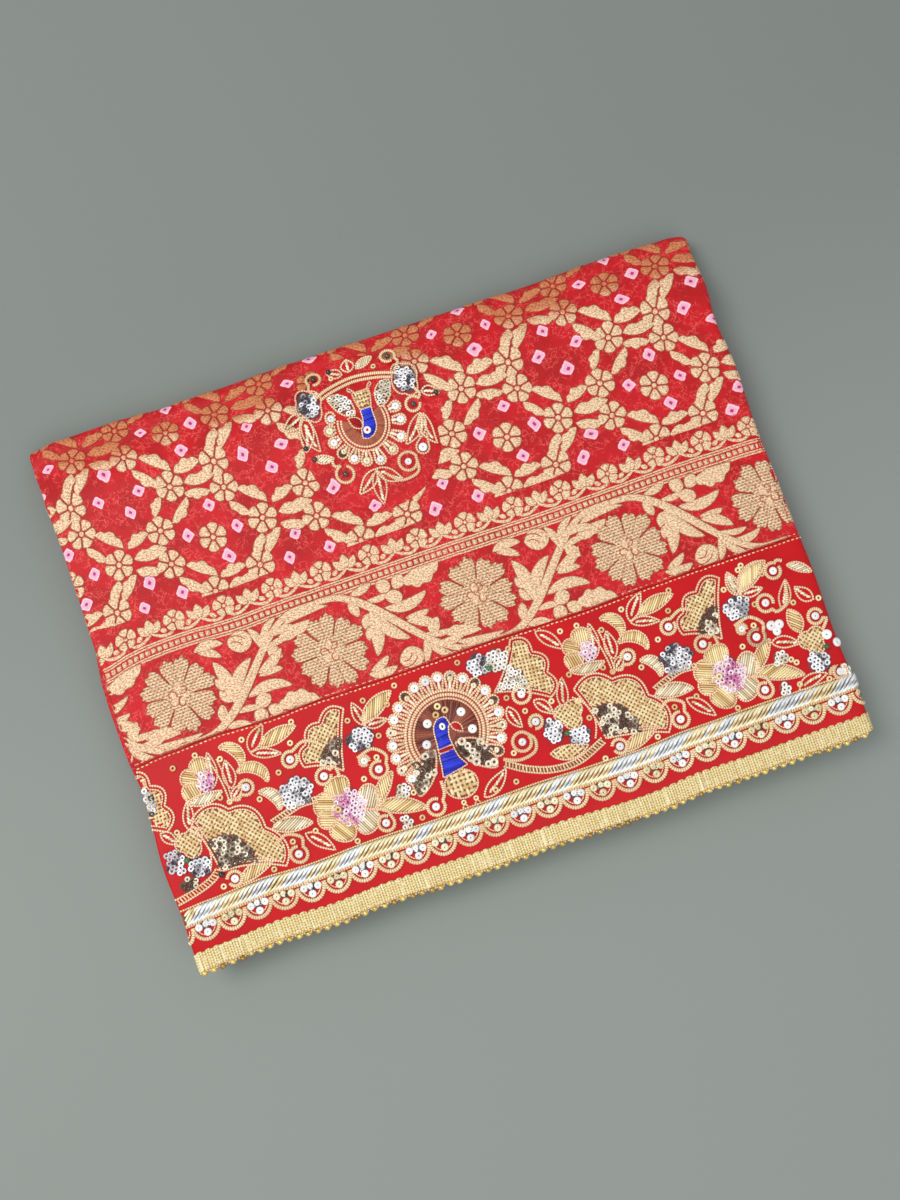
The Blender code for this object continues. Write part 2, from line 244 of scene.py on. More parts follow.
def fold_stretches():
    """The fold line as straights (x, e, facing) and turns (x, e, radius, start angle, sweep sign)."""
    free_end = LEFT + FREE_END_INSET
    ends = [(2, free_end, RIGHT_FOLD_X), (3, RIGHT_FOLD_X, LEFT_FOLD_X), (4, LEFT_FOLD_X, RIGHT_FOLD_X),
            (5, RIGHT_FOLD_X, LEFT_FOLD_X), (6, LEFT_FOLD_X, WRAP_X), (1, WRAP_X, free_end)]
    made = []
    for ply, start, end in ends:
        if made and ply > 1:
            first_deg, way = (-90, 1) if start > 0 else (270, -1)
            made.append(("turn", start, (ply - 1) * PLY_PITCH, TIGHT_RADIUS, first_deg, way))
        if ply == 1:
            made.append(("turn", WRAP_X, 3 * PLY_PITCH, WRAP_RADIUS, 90, -1))
        facing = math.copysign(1.0, end - start)
        made.append(("straight", start, (ply - 0.5) * PLY_PITCH, abs(end - start), facing, ply))
    lengths = [row[3] if row[0] == "straight" else math.pi * row[3] for row in made]
    starts = np.concatenate([[0.0], np.cumsum(lengths)])
    top = next(i for i, row in enumerate(made) if row[0] == "straight" and row[5] == 6)
    return made, starts - starts[top] + LEFT_FOLD_X


STRETCHES, STRETCH_STARTS = fold_stretches()


def station(u):
    """Stations for distances u along the cloth, where u is x on the top layer."""
    u = np.asarray(u, float)
    index = np.clip(np.searchsorted(STRETCH_STARTS, u, side="right") - 1, 0, len(STRETCHES) - 1)
    out = np.zeros(u.shape + (4,))
    for number, row in enumerate(STRETCHES):
        here = index == number
        gone = u[here] - STRETCH_STARTS[number]
        if row[0] == "straight":
            x = row[1] + row[4] * gone
            out[here] = np.stack([x, np.full_like(x, row[2]), np.zeros_like(x), np.full_like(x, row[4])], -1)
        else:
            angle = np.radians(row[4]) + row[5] * gone / row[3]
            across, along = np.cos(angle), np.sin(angle)
            spot = [row[1] + row[3] * across, row[2] + row[3] * along, -row[5] * across, -row[5] * along]
            out[here] = np.stack(spot, -1)
    return out


U_LAST = STRETCH_STARTS[-1]
LEFT_SIDE = LEFT_FOLD_X / MM
WRAP_SIDE = WRAP_X / MM
# Where figures, cords and sewn pieces end at the side folds of the top layer, in mm.
FIGURES_LEFT, FIGURES_RIGHT = -211.0, 219.6
CORD_LEFT, CORD_RIGHT = -209.6, 213.5
SEWN_LEFT, SEWN_RIGHT = -209.0, 211.0


def relief(u, v):
    """Soft ridges of the top layer in mm, faded out at the folds."""
    rise = 0.10 * np.sin(u / 17.0 + 1.3 * np.sin(v / 23.0)) * np.sin(v / 19.0 + 0.7)
    rise = rise + 0.05 * np.sin(u / 6.1 + v / 9.0) * np.sin(v / 7.3 - u / 31.0)
    for u1, v1, u2, v2, half, height in CREASES:
        along = ((u - u1) * (u2 - u1) + (v - v1) * (v2 - v1)) / ((u2 - u1) ** 2 + (v2 - v1) ** 2)
        near = np.clip(along, 0.0, 1.0)
        away = np.hypot(u - u1 - near * (u2 - u1), v - v1 - near * (v2 - v1))
        rise = rise + height * np.exp(-((away / half) ** 2))
    fade = smooth((u - LEFT_SIDE) / 8.0) * smooth((WRAP_SIDE + 6.0 - u) / 10.0)
    return rise * fade * smooth((NOSE_V / MM - 2.0 - v) / 12.0)


def surface(u, v, h=0.0):
    """Points for cloth millimetres u, v at the height h over the right side of the sheet."""
    u, v, h = np.broadcast_arrays(np.asarray(u, float), np.asarray(v, float), np.asarray(h, float))
    return fold(station(u * MM), v * MM, (h + relief(u, v)) * MM + SHEET / 2)


def surface_frame(u, v, h):
    """Point, direction along u and normal at each place."""
    here = surface(u, v, h)
    along = surface(np.asarray(u) + 0.05, v, h) - here
    inward = surface(u, np.asarray(v) + 0.05, h) - here
    along = along / np.linalg.norm(along, axis=-1, keepdims=True)
    normal = np.cross(along, inward)
    normal = normal / np.linalg.norm(normal, axis=-1, keepdims=True)
    return here, along, normal


# shader words
def connect(tree, socket, value):
    if isinstance(value, Socket):
        tree.links.new(value.output, socket)
    elif hasattr(value, "__len__") and len(value) == 3 and len(socket.default_value) == 4:
        socket.default_value = (*value, 1.0)
    else:
        socket.default_value = value


class Socket:
    """A node's output that sums, products and the like can be written with."""

    def __init__(self, tree, output):
        self.tree, self.output = tree, output

    def math(self, operation, *others, swap=False):
        node = self.tree.nodes.new("ShaderNodeMath")
        node.operation = operation
        values = (*others, self) if swap else (self, *others)
        for socket, value in zip(node.inputs, values):
            connect(self.tree, socket, value)
        return Socket(self.tree, node.outputs[0])

    def __add__(self, other):
        return self.math("ADD", other)

    def __sub__(self, other):
        return self.math("SUBTRACT", other)

    def __rsub__(self, other):
        return self.math("SUBTRACT", other, swap=True)

    def __mul__(self, other):
        return self.math("MULTIPLY", other)

    def __truediv__(self, other):
        return self.math("DIVIDE", other)

    def __pow__(self, other):
        return self.math("POWER", other)

    __radd__ = __add__
    __rmul__ = __mul__

    def sine(self):
        return self.math("SINE")

    def size(self):
        return self.math("ABSOLUTE")

    def least(self, other):
        return self.math("MINIMUM", other)

    def most(self, other):
        return self.math("MAXIMUM", other)

    def nearest(self):
        return self.math("ROUND")

    def band(self, start, end):
        """0 below start, 1 above end and a smooth step between; start may be the larger."""
        node = self.tree.nodes.new("ShaderNodeMapRange")
        node.interpolation_type = "SMOOTHSTEP"
        for name, value in (("Value", self), ("From Min", start), ("From Max", end)):
            connect(self.tree, node.inputs[name], value)
        return Socket(self.tree, node.outputs[0])


class Finish:
    """One material, with the few node calls that all of them use."""

    def __init__(self, name, colour=(0.5, 0.5, 0.5), roughness=0.5, metallic=0.0):
        self.material = bpy.data.materials.new(name)
        self.material.use_nodes = True
        self.tree = self.material.node_tree
        self.shader = self.tree.nodes["Principled BSDF"]
        self.put(Base_Color=colour, Roughness=roughness, Metallic=metallic)

    def put(self, **values):
        for name, value in values.items():
            connect(self.tree, self.shader.inputs[name.replace("_", " ")], value)

    def node(self, kind, settings=(), inputs=(), output=0):
        node = self.tree.nodes.new(kind)
        for name, value in dict(settings).items():
            setattr(node, name, value)
        for name, value in dict(inputs).items():
            connect(self.tree, node.inputs[name], value)
        return Socket(self.tree, node.outputs[output])

    def cloth_place(self):
        """The cloth's own millimetres: the vector, u and v."""
        place = self.node("ShaderNodeUVMap", {"uv_map": "cloth"})
        return place, *self.split(place)

    def split(self, vector):
        node = self.tree.nodes.new("ShaderNodeSeparateXYZ")
        connect(self.tree, node.inputs[0], vector)
        return Socket(self.tree, node.outputs[0]), Socket(self.tree, node.outputs[1])

    def object_place(self):
        return self.node("ShaderNodeTexCoord", output=3)

    def attribute(self, name):
        return self.node("ShaderNodeAttribute", {"attribute_name": name}, output=2)

    def noise(self, place, scale, detail=2.0, output=0):
        settings = {"Vector": place, "Scale": scale, "Detail": detail}
        return self.node("ShaderNodeTexNoise", {}, settings, output)

    def cells(self, place, scale, feature="DISTANCE_TO_EDGE"):
        return self.node("ShaderNodeTexVoronoi", {"feature": feature}, {"Vector": place, "Scale": scale})

    def mix(self, factor, first, second):
        node = self.tree.nodes.new("ShaderNodeMix")
        node.data_type = "RGBA"
        for index, value in ((0, factor), (6, first), (7, second)):
            connect(self.tree, node.inputs[index], value)
        return Socket(self.tree, node.outputs[2])

    def move(self, vector, scale):
        return self.node("ShaderNodeMapping", {}, {"Vector": vector, "Scale": scale})

    def scaled(self, vector, factor):
        return self.node("ShaderNodeVectorMath", {"operation": "SCALE"}, {0: vector, "Scale": factor})

    def blend_vector(self, operation, first, second):
        return self.node("ShaderNodeVectorMath", {"operation": operation}, {0: first, 1: second})

    def bump(self, height, strength, distance=0.0002):
        settings = {"Height": height, "Strength": strength, "Distance": distance}
        self.put(Normal=self.node("ShaderNodeBump", {}, settings))


def linear(*colour):
    """A colour in 0..255 as the shader's linear one."""
    shares = [part / 255 for part in colour]
    return tuple(c / 12.92 if c <= 10 / 255 else ((c + 0.055) / 1.055) ** 2.4 for c in shares)

CRIMSON = linear(198, 5, 20)
CRIMSON_DARK = linear(172, 3, 14)
CRIMSON_LIGHT = linear(230, 82, 76)
SATIN_RED = linear(198, 5, 16)
DOT_PINK = linear(248, 176, 206)
DOT_PALE = linear(255, 226, 234)
DOT_MIDDLE = linear(160, 10, 60)
ZARI = linear(214, 156, 112)
ZARI_LIGHT = linear(254, 230, 192)
ZARI_SHADE = linear(186, 104, 72)

# Tied dots in a cell of the net, from its flower, and from the middle of an empty cell. Columns: u, v.
FLOWER_DOTS = ((4.5, 18.6), (-14.0, 5.6), (17.0, 1.6), (5.6, -13.2))
EMPTY_DOTS = ((-1.8, 18.6), (-10.0, 6.0), (15.4, 6.0), (5.2, -5.8))
NET_A = 92.8
NET_B = (-6.0, 67.2)
NET_ORIGIN = (61.3, 224.6)
# The net widens towards both sides. Columns: from u, growth per mm.
NET_RIGHT = (20.0, 0.027)
NET_LEFT = (-100.0, 0.045)


def dot_distance(u, v, origin, dots, turn_deg):
    """Smallest distance to a tied dot, for one of the two sorts of cell."""
    row = ((v - origin[1]) / NET_B[1]).nearest()
    column = ((u - origin[0] - row * NET_B[0]) / NET_A).nearest()
    local_u = u - origin[0] - row * NET_B[0] - column * NET_A
    local_v = v - origin[1] - row * NET_B[1]
    cosine, sine = math.cos(math.radians(turn_deg)), math.sin(math.radians(turn_deg))
    found = None
    for dot_u, dot_v in dots:
        across, along = local_u - dot_u, local_v - dot_v
        turned_u = (across * cosine + along * sine).size()
        turned_v = (along * cosine - across * sine).size()
        away = (turned_u**5.0 + turned_v**5.0) ** 0.2
        found = away if found is None else found.least(away)
    return found


def woven(finish, place, pitch=0.42):
    """Crossing threads as a height, at the pitch in mm."""
    u, v = finish.split(place)
    return (u * (2 * math.pi / pitch)).sine() * 0.5 + (v * (2 * math.pi / pitch)).sine() * 0.5


def dotted_silk():
    """Crimson silk with tied dots and faint squiggles woven in its own colour."""
    finish = Finish("dotted_silk", CRIMSON, 0.5)
    place, along, far = finish.cloth_place()
    wander = finish.noise(finish.move(place, scale=(0.05, 0.05, 0.05)), 1.0, 1.0, output=1)
    shift = finish.blend_vector("SUBTRACT", wander, (0.5, 0.5, 0.5))
    bent = finish.blend_vector("ADD", place, finish.scaled(shift, 7.0))
    twist = finish.scaled(finish.noise(place, 0.22, 2.0, 1), 9.0)
    u, v = finish.split(bent)
    u = u - (u - NET_RIGHT[0]).most(0.0) * NET_RIGHT[1] + (NET_LEFT[0] - u).most(0.0) * -NET_LEFT[1]
    edge_noise = finish.noise(place, 0.6, 2.0) - 0.5
    middle = (NET_ORIGIN[0] + (NET_A + NET_B[0]) / 2, NET_ORIGIN[1] + NET_B[1] / 2)
    away = dot_distance(u, v, NET_ORIGIN, FLOWER_DOTS, 42).least(dot_distance(u, v, middle, EMPTY_DOTS, 50))
    away = away + edge_noise * 0.9
    from_bird_u, from_bird_v = (along + 10.0) / 42.0, (far - 258.0) / 42.0
    from_bird = from_bird_u * from_bird_u + from_bird_v * from_bird_v
    allowed = far.band(192.0, 194.0) * from_bird.band(0.98, 1.03)
    dot = away.band(3.45, 2.95) * allowed
    heart = away.band(1.15, 0.7) * allowed
    ground = finish.mix(finish.noise(place, 0.045, 3.0).band(0.35, 0.65), CRIMSON_DARK, CRIMSON)
    lines = finish.cells(finish.blend_vector("ADD", bent, twist), 0.22).band(0.13, 0.03)
    fine = finish.noise(place, 1.1, 3.0).band(0.36, 0.62)
    marks = lines * finish.noise(place, 0.12, 2.0).band(0.40, 0.56) * fine
    ground = finish.mix(marks + fine * 0.08, ground, CRIMSON_LIGHT)
    pink = finish.mix(away.band(1.9, 3.1) * finish.noise(place, 1.4).band(0.3, 0.6), DOT_PINK, DOT_PALE)
    ground = finish.mix(dot * 0.95, ground, pink)
    finish.put(Base_Color=finish.mix(heart * 0.9, ground, DOT_MIDDLE), Specular_IOR_Level=0.28)
    finish.put(Roughness=finish.noise(place, 0.6) * 0.2 + 0.42)
    height = woven(finish, place) * 0.22 + marks * 0.4 + dot * (1.0 - heart)
    finish.bump(height + finish.noise(place, 0.35, 3.0) * 0.7, 0.5)
    return finish.material


def gold_brocade(name, pierced):
    """Woven gold weft: grainy peach, with a painted darker orange over the back fold for the shade of its
    curve. Pierced has rows of small holes.
    """
    finish = Finish(name, ZARI, 0.5, 0.1)
    place, u, v = finish.cloth_place()
    grain = finish.noise(finish.move(place, scale=(0.7, 1.25, 1.0)), 1.0, 4.0)
    inner = finish.attribute("inner")
    gold = finish.mix(grain.band(0.38, 0.56), ZARI, ZARI_LIGHT)
    gold = finish.mix(finish.noise(place, 1.3, 2.0).band(0.55, 0.66) * 0.8, gold, ZARI_SHADE)
    # Painted shade: the gold turns a darker orange over the back fold, where the cloth curves down and away
    # from the light.
    fold_shade = (v + finish.noise(place, 0.06, 2.0) * 22.0).band(288.0, 302.0) * 0.85
    orange = finish.mix(grain.band(0.36, 0.58), linear(166, 66, 32), linear(222, 124, 68))
    gold = finish.mix(fold_shade, gold, orange)
    height = ((v * (2 * math.pi / 0.55)).sine() * 0.5 + 0.5) * 0.25 + grain * 1.6 + inner * 1.6
    if pierced:
        row = (v / 1.8).nearest()
        across = (u + row * 1.2) / 2.4
        across = (across - across.nearest()).size() * 2.4
        along = (v / 1.8 - row + across * 0.16).size() * 1.8
        hole = (across * 0.5 + along * 1.2 + finish.noise(place, 0.9) * 0.4).band(0.90, 0.62)
        gold = finish.mix(hole * 0.72, gold, linear(166, 92, 60))
        height = height - hole * 1.2
    # The rims of broad figures turn dark red: partly the fine red outline of the weave, partly painted shade
    # where the raised figure rounds down to the ground.
    gold = finish.mix(inner.band(0.42, 0.05) * 0.8, gold, linear(176, 44, 38))
    finish.put(Base_Color=gold, Roughness=grain * 0.2 + 0.42, Specular_IOR_Level=0.3)
    finish.bump(height, 0.9, 0.0004)
    return finish.material


def plain_satin(name):
    """Smooth red satin: a long soft gloss with a faint grain across it."""
    finish = Finish(name, SATIN_RED, 0.4)
    place, _, _ = finish.cloth_place()
    tone = finish.mix(finish.noise(place, 0.03, 2.0).band(0.3, 0.7), linear(186, 4, 14), SATIN_RED)
    tone = finish.mix(finish.noise(place, 0.8, 2.0) * 0.05, tone, CRIMSON_LIGHT)
    finish.put(Base_Color=tone, Specular_IOR_Level=0.24, Roughness=finish.noise(place, 0.5) * 0.12 + 0.36)
    grain = finish.noise(finish.move(place, scale=(0.5, 3.4, 1.0)), 1.0, 2.0)
    finish.bump(grain * 0.35 + finish.noise(place, 0.16, 2.0) * 0.8 + woven(finish, place, 0.36) * 0.1, 0.35)
    return finish.material


def metal_thread(name, colour, shade, pitch, roughness=0.42, metallic=0.12):
    """Fine wire laid in coils: ribs at the pitch in mm, with painted shade between them, each with its own
    tint.
    """
    finish = Finish(name, colour, roughness, metallic)
    ribs = (finish.attribute("along") * (2 * math.pi / (pitch * MM))).sine() * 0.5 + 0.5
    spots = finish.noise(finish.object_place(), 900.0, 2.0)
    # Painted shade: the colour goes dark between the ribs, in the grooves between the coil's turns.
    tone = finish.mix(ribs.band(0.0, 0.6), shade, colour)
    share = spots.band(0.54, 0.72) * 0.35 + finish.attribute("tint") * 0.35
    finish.put(Base_Color=finish.mix(share, tone, shade))
    finish.bump(ribs * 0.8 + spots * 0.3, 0.6)
    return finish.material


def ribbed_ribbon():
    """The lace's ribbon: gold threads across it in groups, fine bars along it, with painted shade between
    them and painted highlight on their crests.
    """
    finish = Finish("ribbed_ribbon", linear(240, 220, 160), 0.42, 0.12)
    place, u, v = finish.cloth_place()
    cords = (u * (2 * math.pi / 1.65)).sine() * 0.5 + 0.5
    bars = (v * (2 * math.pi / 1.5) + (u * (2 * math.pi / 3.3)).sine() * 1.2).sine() * 0.5 + 0.5
    grain = finish.noise(finish.move(place, scale=(1.2, 0.4, 1.0)), 1.0, 2.0)
    streaks = finish.noise(finish.move(place, scale=(0.55, 0.03, 1.0)), 1.0, 3.0)
    # Painted light: dark between the cords and bars where shade falls, light on their crests.
    tone = finish.mix(bars * 0.45 + cords * 0.55, linear(158, 118, 56), linear(255, 238, 170))
    tone = finish.mix(streaks.band(0.56, 0.68) * 0.7, tone, linear(255, 248, 214))
    tone = finish.mix(streaks.band(0.44, 0.32) * 0.45, tone, linear(176, 138, 76))
    finish.put(Base_Color=finish.mix(grain.band(0.54, 0.66) * 0.5, tone, linear(255, 250, 222)))
    finish.bump(bars * 0.7 + cords * 0.5 + grain * 0.3, 0.6)
    return finish.material


# Meshes
def linked(name, data):
    obj = bpy.data.objects.new(name, data)
    bpy.context.scene.collection.objects.link(obj)
    return obj

def new_object(name, points, faces, material=None, smooth_shade=True):
    mesh = bpy.data.meshes.new(name)
    mesh.from_pydata([tuple(p) for p in points], [], faces)
    if material:
        mesh.materials.append(material)
    if smooth_shade:
        mesh.shade_smooth()
    return linked(name, mesh)


def give_cloth_place(obj, places):
    """Writes each vertex's cloth millimetres as the piece's UV map."""
    layer = obj.data.uv_layers.new(name="cloth")
    corners = np.empty(len(obj.data.loops), np.int32)
    obj.data.loops.foreach_get("vertex_index", corners)
    layer.data.foreach_set("uv", np.asarray(places, np.float32)[corners].ravel())


def give_attribute(mesh, name, values):
    """A number or a vector at every point."""
    values = np.asarray(values, np.float32)
    kind, field = ("FLOAT", "value") if values.ndim == 1 else ("FLOAT_VECTOR", "vector")
    mesh.attributes.new(name, kind, "POINT").data.foreach_set(field, values.ravel())

def belongs(obj, slot, *nodes):
    """Every piece rides on the one body and may stand for a solid, whose part it hides; the slot is not used.
    """
    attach(obj, "root")
    if nodes:
        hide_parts(*nodes)
    return obj


def closed_grid(name, upper, lower, material, sharp_deg, places):
    """A closed sheet or slab between two grids of points, with the cloth places as its UV map."""
    rows, columns = upper.shape[:2]
    count = rows * columns
    index = np.arange(count).reshape(rows, columns)
    top = np.stack([index[:-1, :-1], index[1:, :-1], index[1:, 1:], index[:-1, 1:]], -1).reshape(-1, 4)
    faces = [top, top[:, ::-1] + count]
    for line in (index[0, ::-1], index[-1], index[:, 0], index[::-1, -1]):
        a, b = line[:-1], line[1:]
        faces.append(np.stack([a, a + count, b + count, b], -1)[:, ::-1])
    points = np.concatenate([upper.reshape(-1, 3), lower.reshape(-1, 3)])
    obj = new_object(name, points, np.concatenate(faces).tolist(), material)
    obj.data.set_sharp_from_angle(angle=math.radians(sharp_deg))
    give_cloth_place(obj, np.tile(places.reshape(-1, 2), (2, 1)))
    return obj

def folded_sheet(name, us, vs, material):
    """A closed sheet through the grid of cloth places, one face on the right side and one on the wrong."""
    grid_u, grid_v = np.meshgrid(us, vs, indexing="ij")
    rise = relief(grid_u, grid_v) * MM
    lines = station(grid_u * MM)
    upper = fold(lines, grid_v * MM, rise + SHEET / 2)
    lower = fold(lines, grid_v * MM, rise - SHEET / 2)
    return closed_grid(name, upper, lower, material, 50, np.stack([grid_u, grid_v], -1))

# Faces round a tight turn and round the wide one
TURN_STEPS = 8
WRAP_STEPS = 14

def line_spacing(outer, inner):
    """Values of u along the whole fold line, closer together on the outer layer."""
    values = []
    for number, row in enumerate(STRETCHES):
        start, end = STRETCH_STARTS[number] / MM, STRETCH_STARTS[number + 1] / MM
        if row[0] == "turn":
            steps = WRAP_STEPS if row[3] > TIGHT_RADIUS * 2 else TURN_STEPS
        else:
            steps = max(4, round((end - start) / (outer if row[5] == 6 else inner)))
        values.append(np.linspace(start, end, steps + 1)[:-1])
    return np.concatenate([*values, [U_LAST / MM]])


def depth_spacing(start, stretches):
    """Values of v from start, as (end, step) stretches."""
    values = [np.array([start])]
    for end, step in stretches:
        begin = values[-1][-1]
        steps = max(1, round((end - begin) / step))
        values.append(np.linspace(begin, end, steps + 1)[1:])
    return np.concatenate(values)


# Outlines in cloth millimetres
def heading(deg):
    """The unit vector in a direction."""
    angle = math.radians(deg)
    return np.array([math.cos(angle), math.sin(angle)])

def left_of(vector):
    return np.array([-vector[1], vector[0]])

def polar(centre, angle, reach_u, reach_v):
    """Points round a centre, at a reach in u and one in v."""
    return np.stack([centre[0] + reach_u * np.cos(angle), centre[1] + reach_v * np.sin(angle)], -1)

def line_normals(line):
    """The unit normal to the left at each point of a line."""
    way = np.gradient(line, axis=0)
    return np.stack([-way[:, 1], way[:, 0]], -1) / np.linalg.norm(way, axis=1, keepdims=True)

def rim_normals(outline):
    """The unit normal into a closed outline at each of its points."""
    way = np.roll(outline, -1, axis=0) - np.roll(outline, 1, axis=0)
    length = np.maximum(np.linalg.norm(way, axis=1, keepdims=True), 1e-6)
    return np.stack([-way[:, 1], way[:, 0]], -1) / length

def spaced(points, step, closed=False):
    """The polyline with its points a step apart."""
    points = np.asarray(points, float)
    if closed:
        points = np.concatenate([points, points[:1]])
    gone = np.concatenate([[0.0], np.cumsum(np.linalg.norm(np.diff(points, axis=0), axis=1))])
    count = max(2, round(gone[-1] / step))
    places = np.linspace(0.0, gone[-1], count + 1)
    if closed:
        places = places[:-1]
    return np.stack([np.interp(places, gone, points[:, k]) for k in (0, 1)], -1)


def curve_through(points, step):
    """A smooth line through a few given points."""
    points = np.asarray(points, float)
    padded = np.concatenate([2 * points[:1] - points[1:2], points, 2 * points[-1:] - points[-2:-1]])
    share = np.linspace(0.0, 1.0, 9)[:-1, None]
    parts = []
    for p0, p1, p2, p3 in zip(padded, padded[1:], padded[2:], padded[3:]):
        parts.append(0.5 * (2 * p1 + (p2 - p0) * share + (2 * p0 - 5 * p1 + 4 * p2 - p3) * share**2
                            + (3 * p1 - p0 - 3 * p2 + p3) * share**3))
    return spaced(np.concatenate([*parts, points[-1:]]), step)

def arc(centre_u, centre_v, radius, start_deg, sweep_deg, end_radius=None, step=1.0):
    """A circular arc, or a spiral where the end radius differs."""
    last = radius if end_radius is None else end_radius
    count = max(6, int(abs(math.radians(sweep_deg)) * max(radius, last) / step))
    share = np.linspace(0.0, 1.0, count + 1)
    angle = np.radians(start_deg + sweep_deg * share)
    reach = radius + (last - radius) * share
    return polar((centre_u, centre_v), angle, reach, reach)


def leaf_outline(base, tip, width, bend=0.0, lobes=0, depth=0.22, blunt=0.0, step=1.4):
    """A leaf from base to tip. Bend bows its middle line to the left; lobes notch its bowed edge."""
    base, tip = np.asarray(base, float), np.asarray(tip, float)
    along = tip - base
    side = left_of(along) / np.linalg.norm(along)
    share = np.linspace(0.0, 1.0, max(15, 10 * lobes + 5))
    middle = base + along * share[:, None] + side * (4 * bend * share * (1 - share))[:, None]
    half = 0.5 * width * np.sin(math.pi * share ** (0.82 + 0.25 * blunt)) ** (0.9 - 0.35 * blunt)
    notched = half
    if lobes:
        notched = half * 1.1 * (1.0 - depth * (1.0 - np.abs(np.sin(math.pi * lobes * share**0.9))))
    normal = line_normals(middle)
    to_left, to_right = (half, notched) if bend < 0 else (notched, half)
    left, right = middle + normal * to_left[:, None], middle - normal * to_right[:, None]
    return spaced(np.concatenate([left, right[-2:0:-1]]), step, closed=True)


def petal_outline(centre, angle_deg, inner, outer, width, lobes=1, notch=0.0, step=1.3):
    """A round-ended petal that stands away from a centre, with its end in lobes."""
    out = heading(angle_deg)
    side = left_of(out)
    share = np.linspace(-1.0, 1.0, 9 * lobes + 2)
    end = np.sqrt(np.clip(1.0 - np.abs(share) ** 2.2, 0.0, 1.0))
    bumps = 1.0 - notch * (1.0 - np.abs(np.sin(math.pi * lobes * (share + 1) / 2)))
    length = outer - inner
    reach = inner + length * (0.40 + 0.60 * end) * bumps
    across = 0.5 * width * share * (0.55 + 0.45 * np.clip(end * 1.6, 0, 1))
    rim = np.asarray(centre) + out * reach[:, None] + side * across[:, None]
    foot = np.asarray(centre) + out * inner + side * np.array([[0.16], [-0.16]]) * width
    return spaced(np.concatenate([rim, foot]), step, closed=True)


def ribbon_outline(points, widths, step=1.6):
    """A band of changing width round a smooth line."""
    middle = curve_through(points, 2.0)
    normal = line_normals(middle)
    half = np.interp(np.linspace(0, 1, len(middle)), np.linspace(0, 1, len(widths)), widths)[:, None] / 2
    return spaced(np.concatenate([middle + normal * half, (middle - normal * half)[::-1]]), step, closed=True)


def moved(points, shift=(0.0, 0.0), turn_deg=0.0, flip=1.0):
    """Points mirrored in v with flip -1, turned about the origin and shifted."""
    points = np.asarray(points, float) * [1.0, flip]
    angle = math.radians(turn_deg)
    turn = np.array([[math.cos(angle), math.sin(angle)], [-math.sin(angle), math.cos(angle)]])
    return points @ turn + np.asarray(shift)


def inside(points, outline):
    """Which points lie inside the outline."""
    x, y = np.asarray(points)[:, 0, None], np.asarray(points)[:, 1, None]
    x1, y1 = outline[:, 0], outline[:, 1]
    x2, y2 = np.roll(x1, -1), np.roll(y1, -1)
    with np.errstate(divide="ignore", invalid="ignore"):
        crossing = ((y1 > y) != (y2 > y)) & (x < (x2 - x1) * (y - y1) / (y2 - y1) + x1)
    return crossing.sum(axis=1) % 2 == 1


def away_from_edge(points, outline):
    """Distance of each point to the outline."""
    start, end = outline, np.roll(outline, -1, axis=0)
    way = end - start
    offset = np.asarray(points)[:, None, :] - start[None]
    share = np.clip((offset * way).sum(-1) / np.maximum((way * way).sum(-1), 1e-9), 0, 1)
    return np.linalg.norm(offset - way * share[..., None], axis=-1).min(axis=1)


def clipped(outline, axis, limit, keep_above):
    """The part of an outline on one side of a line u = limit or v = limit."""
    sign = 1.0 if keep_above else -1.0
    kept = []
    for here, after in zip(outline, np.roll(outline, -1, axis=0)):
        a, b = sign * (here[axis] - limit), sign * (after[axis] - limit)
        if a >= 0:
            kept.append(here)
        if a * b < 0:
            kept.append(here + (after - here) * (a / (a - b)))
    return np.array(kept)


def polygon_area(outline):
    x, y = outline[:, 0], outline[:, 1]
    return 0.5 * float(np.sum(x * np.roll(y, -1) - np.roll(x, -1) * y))


# How far the gold weft still stands out where the cloth's own weight presses it on the table.
PRESSED = 0.06 * MM
# A figure that reaches further than this from its edge, in mm, has a shaded rim.
BROAD = 1.3


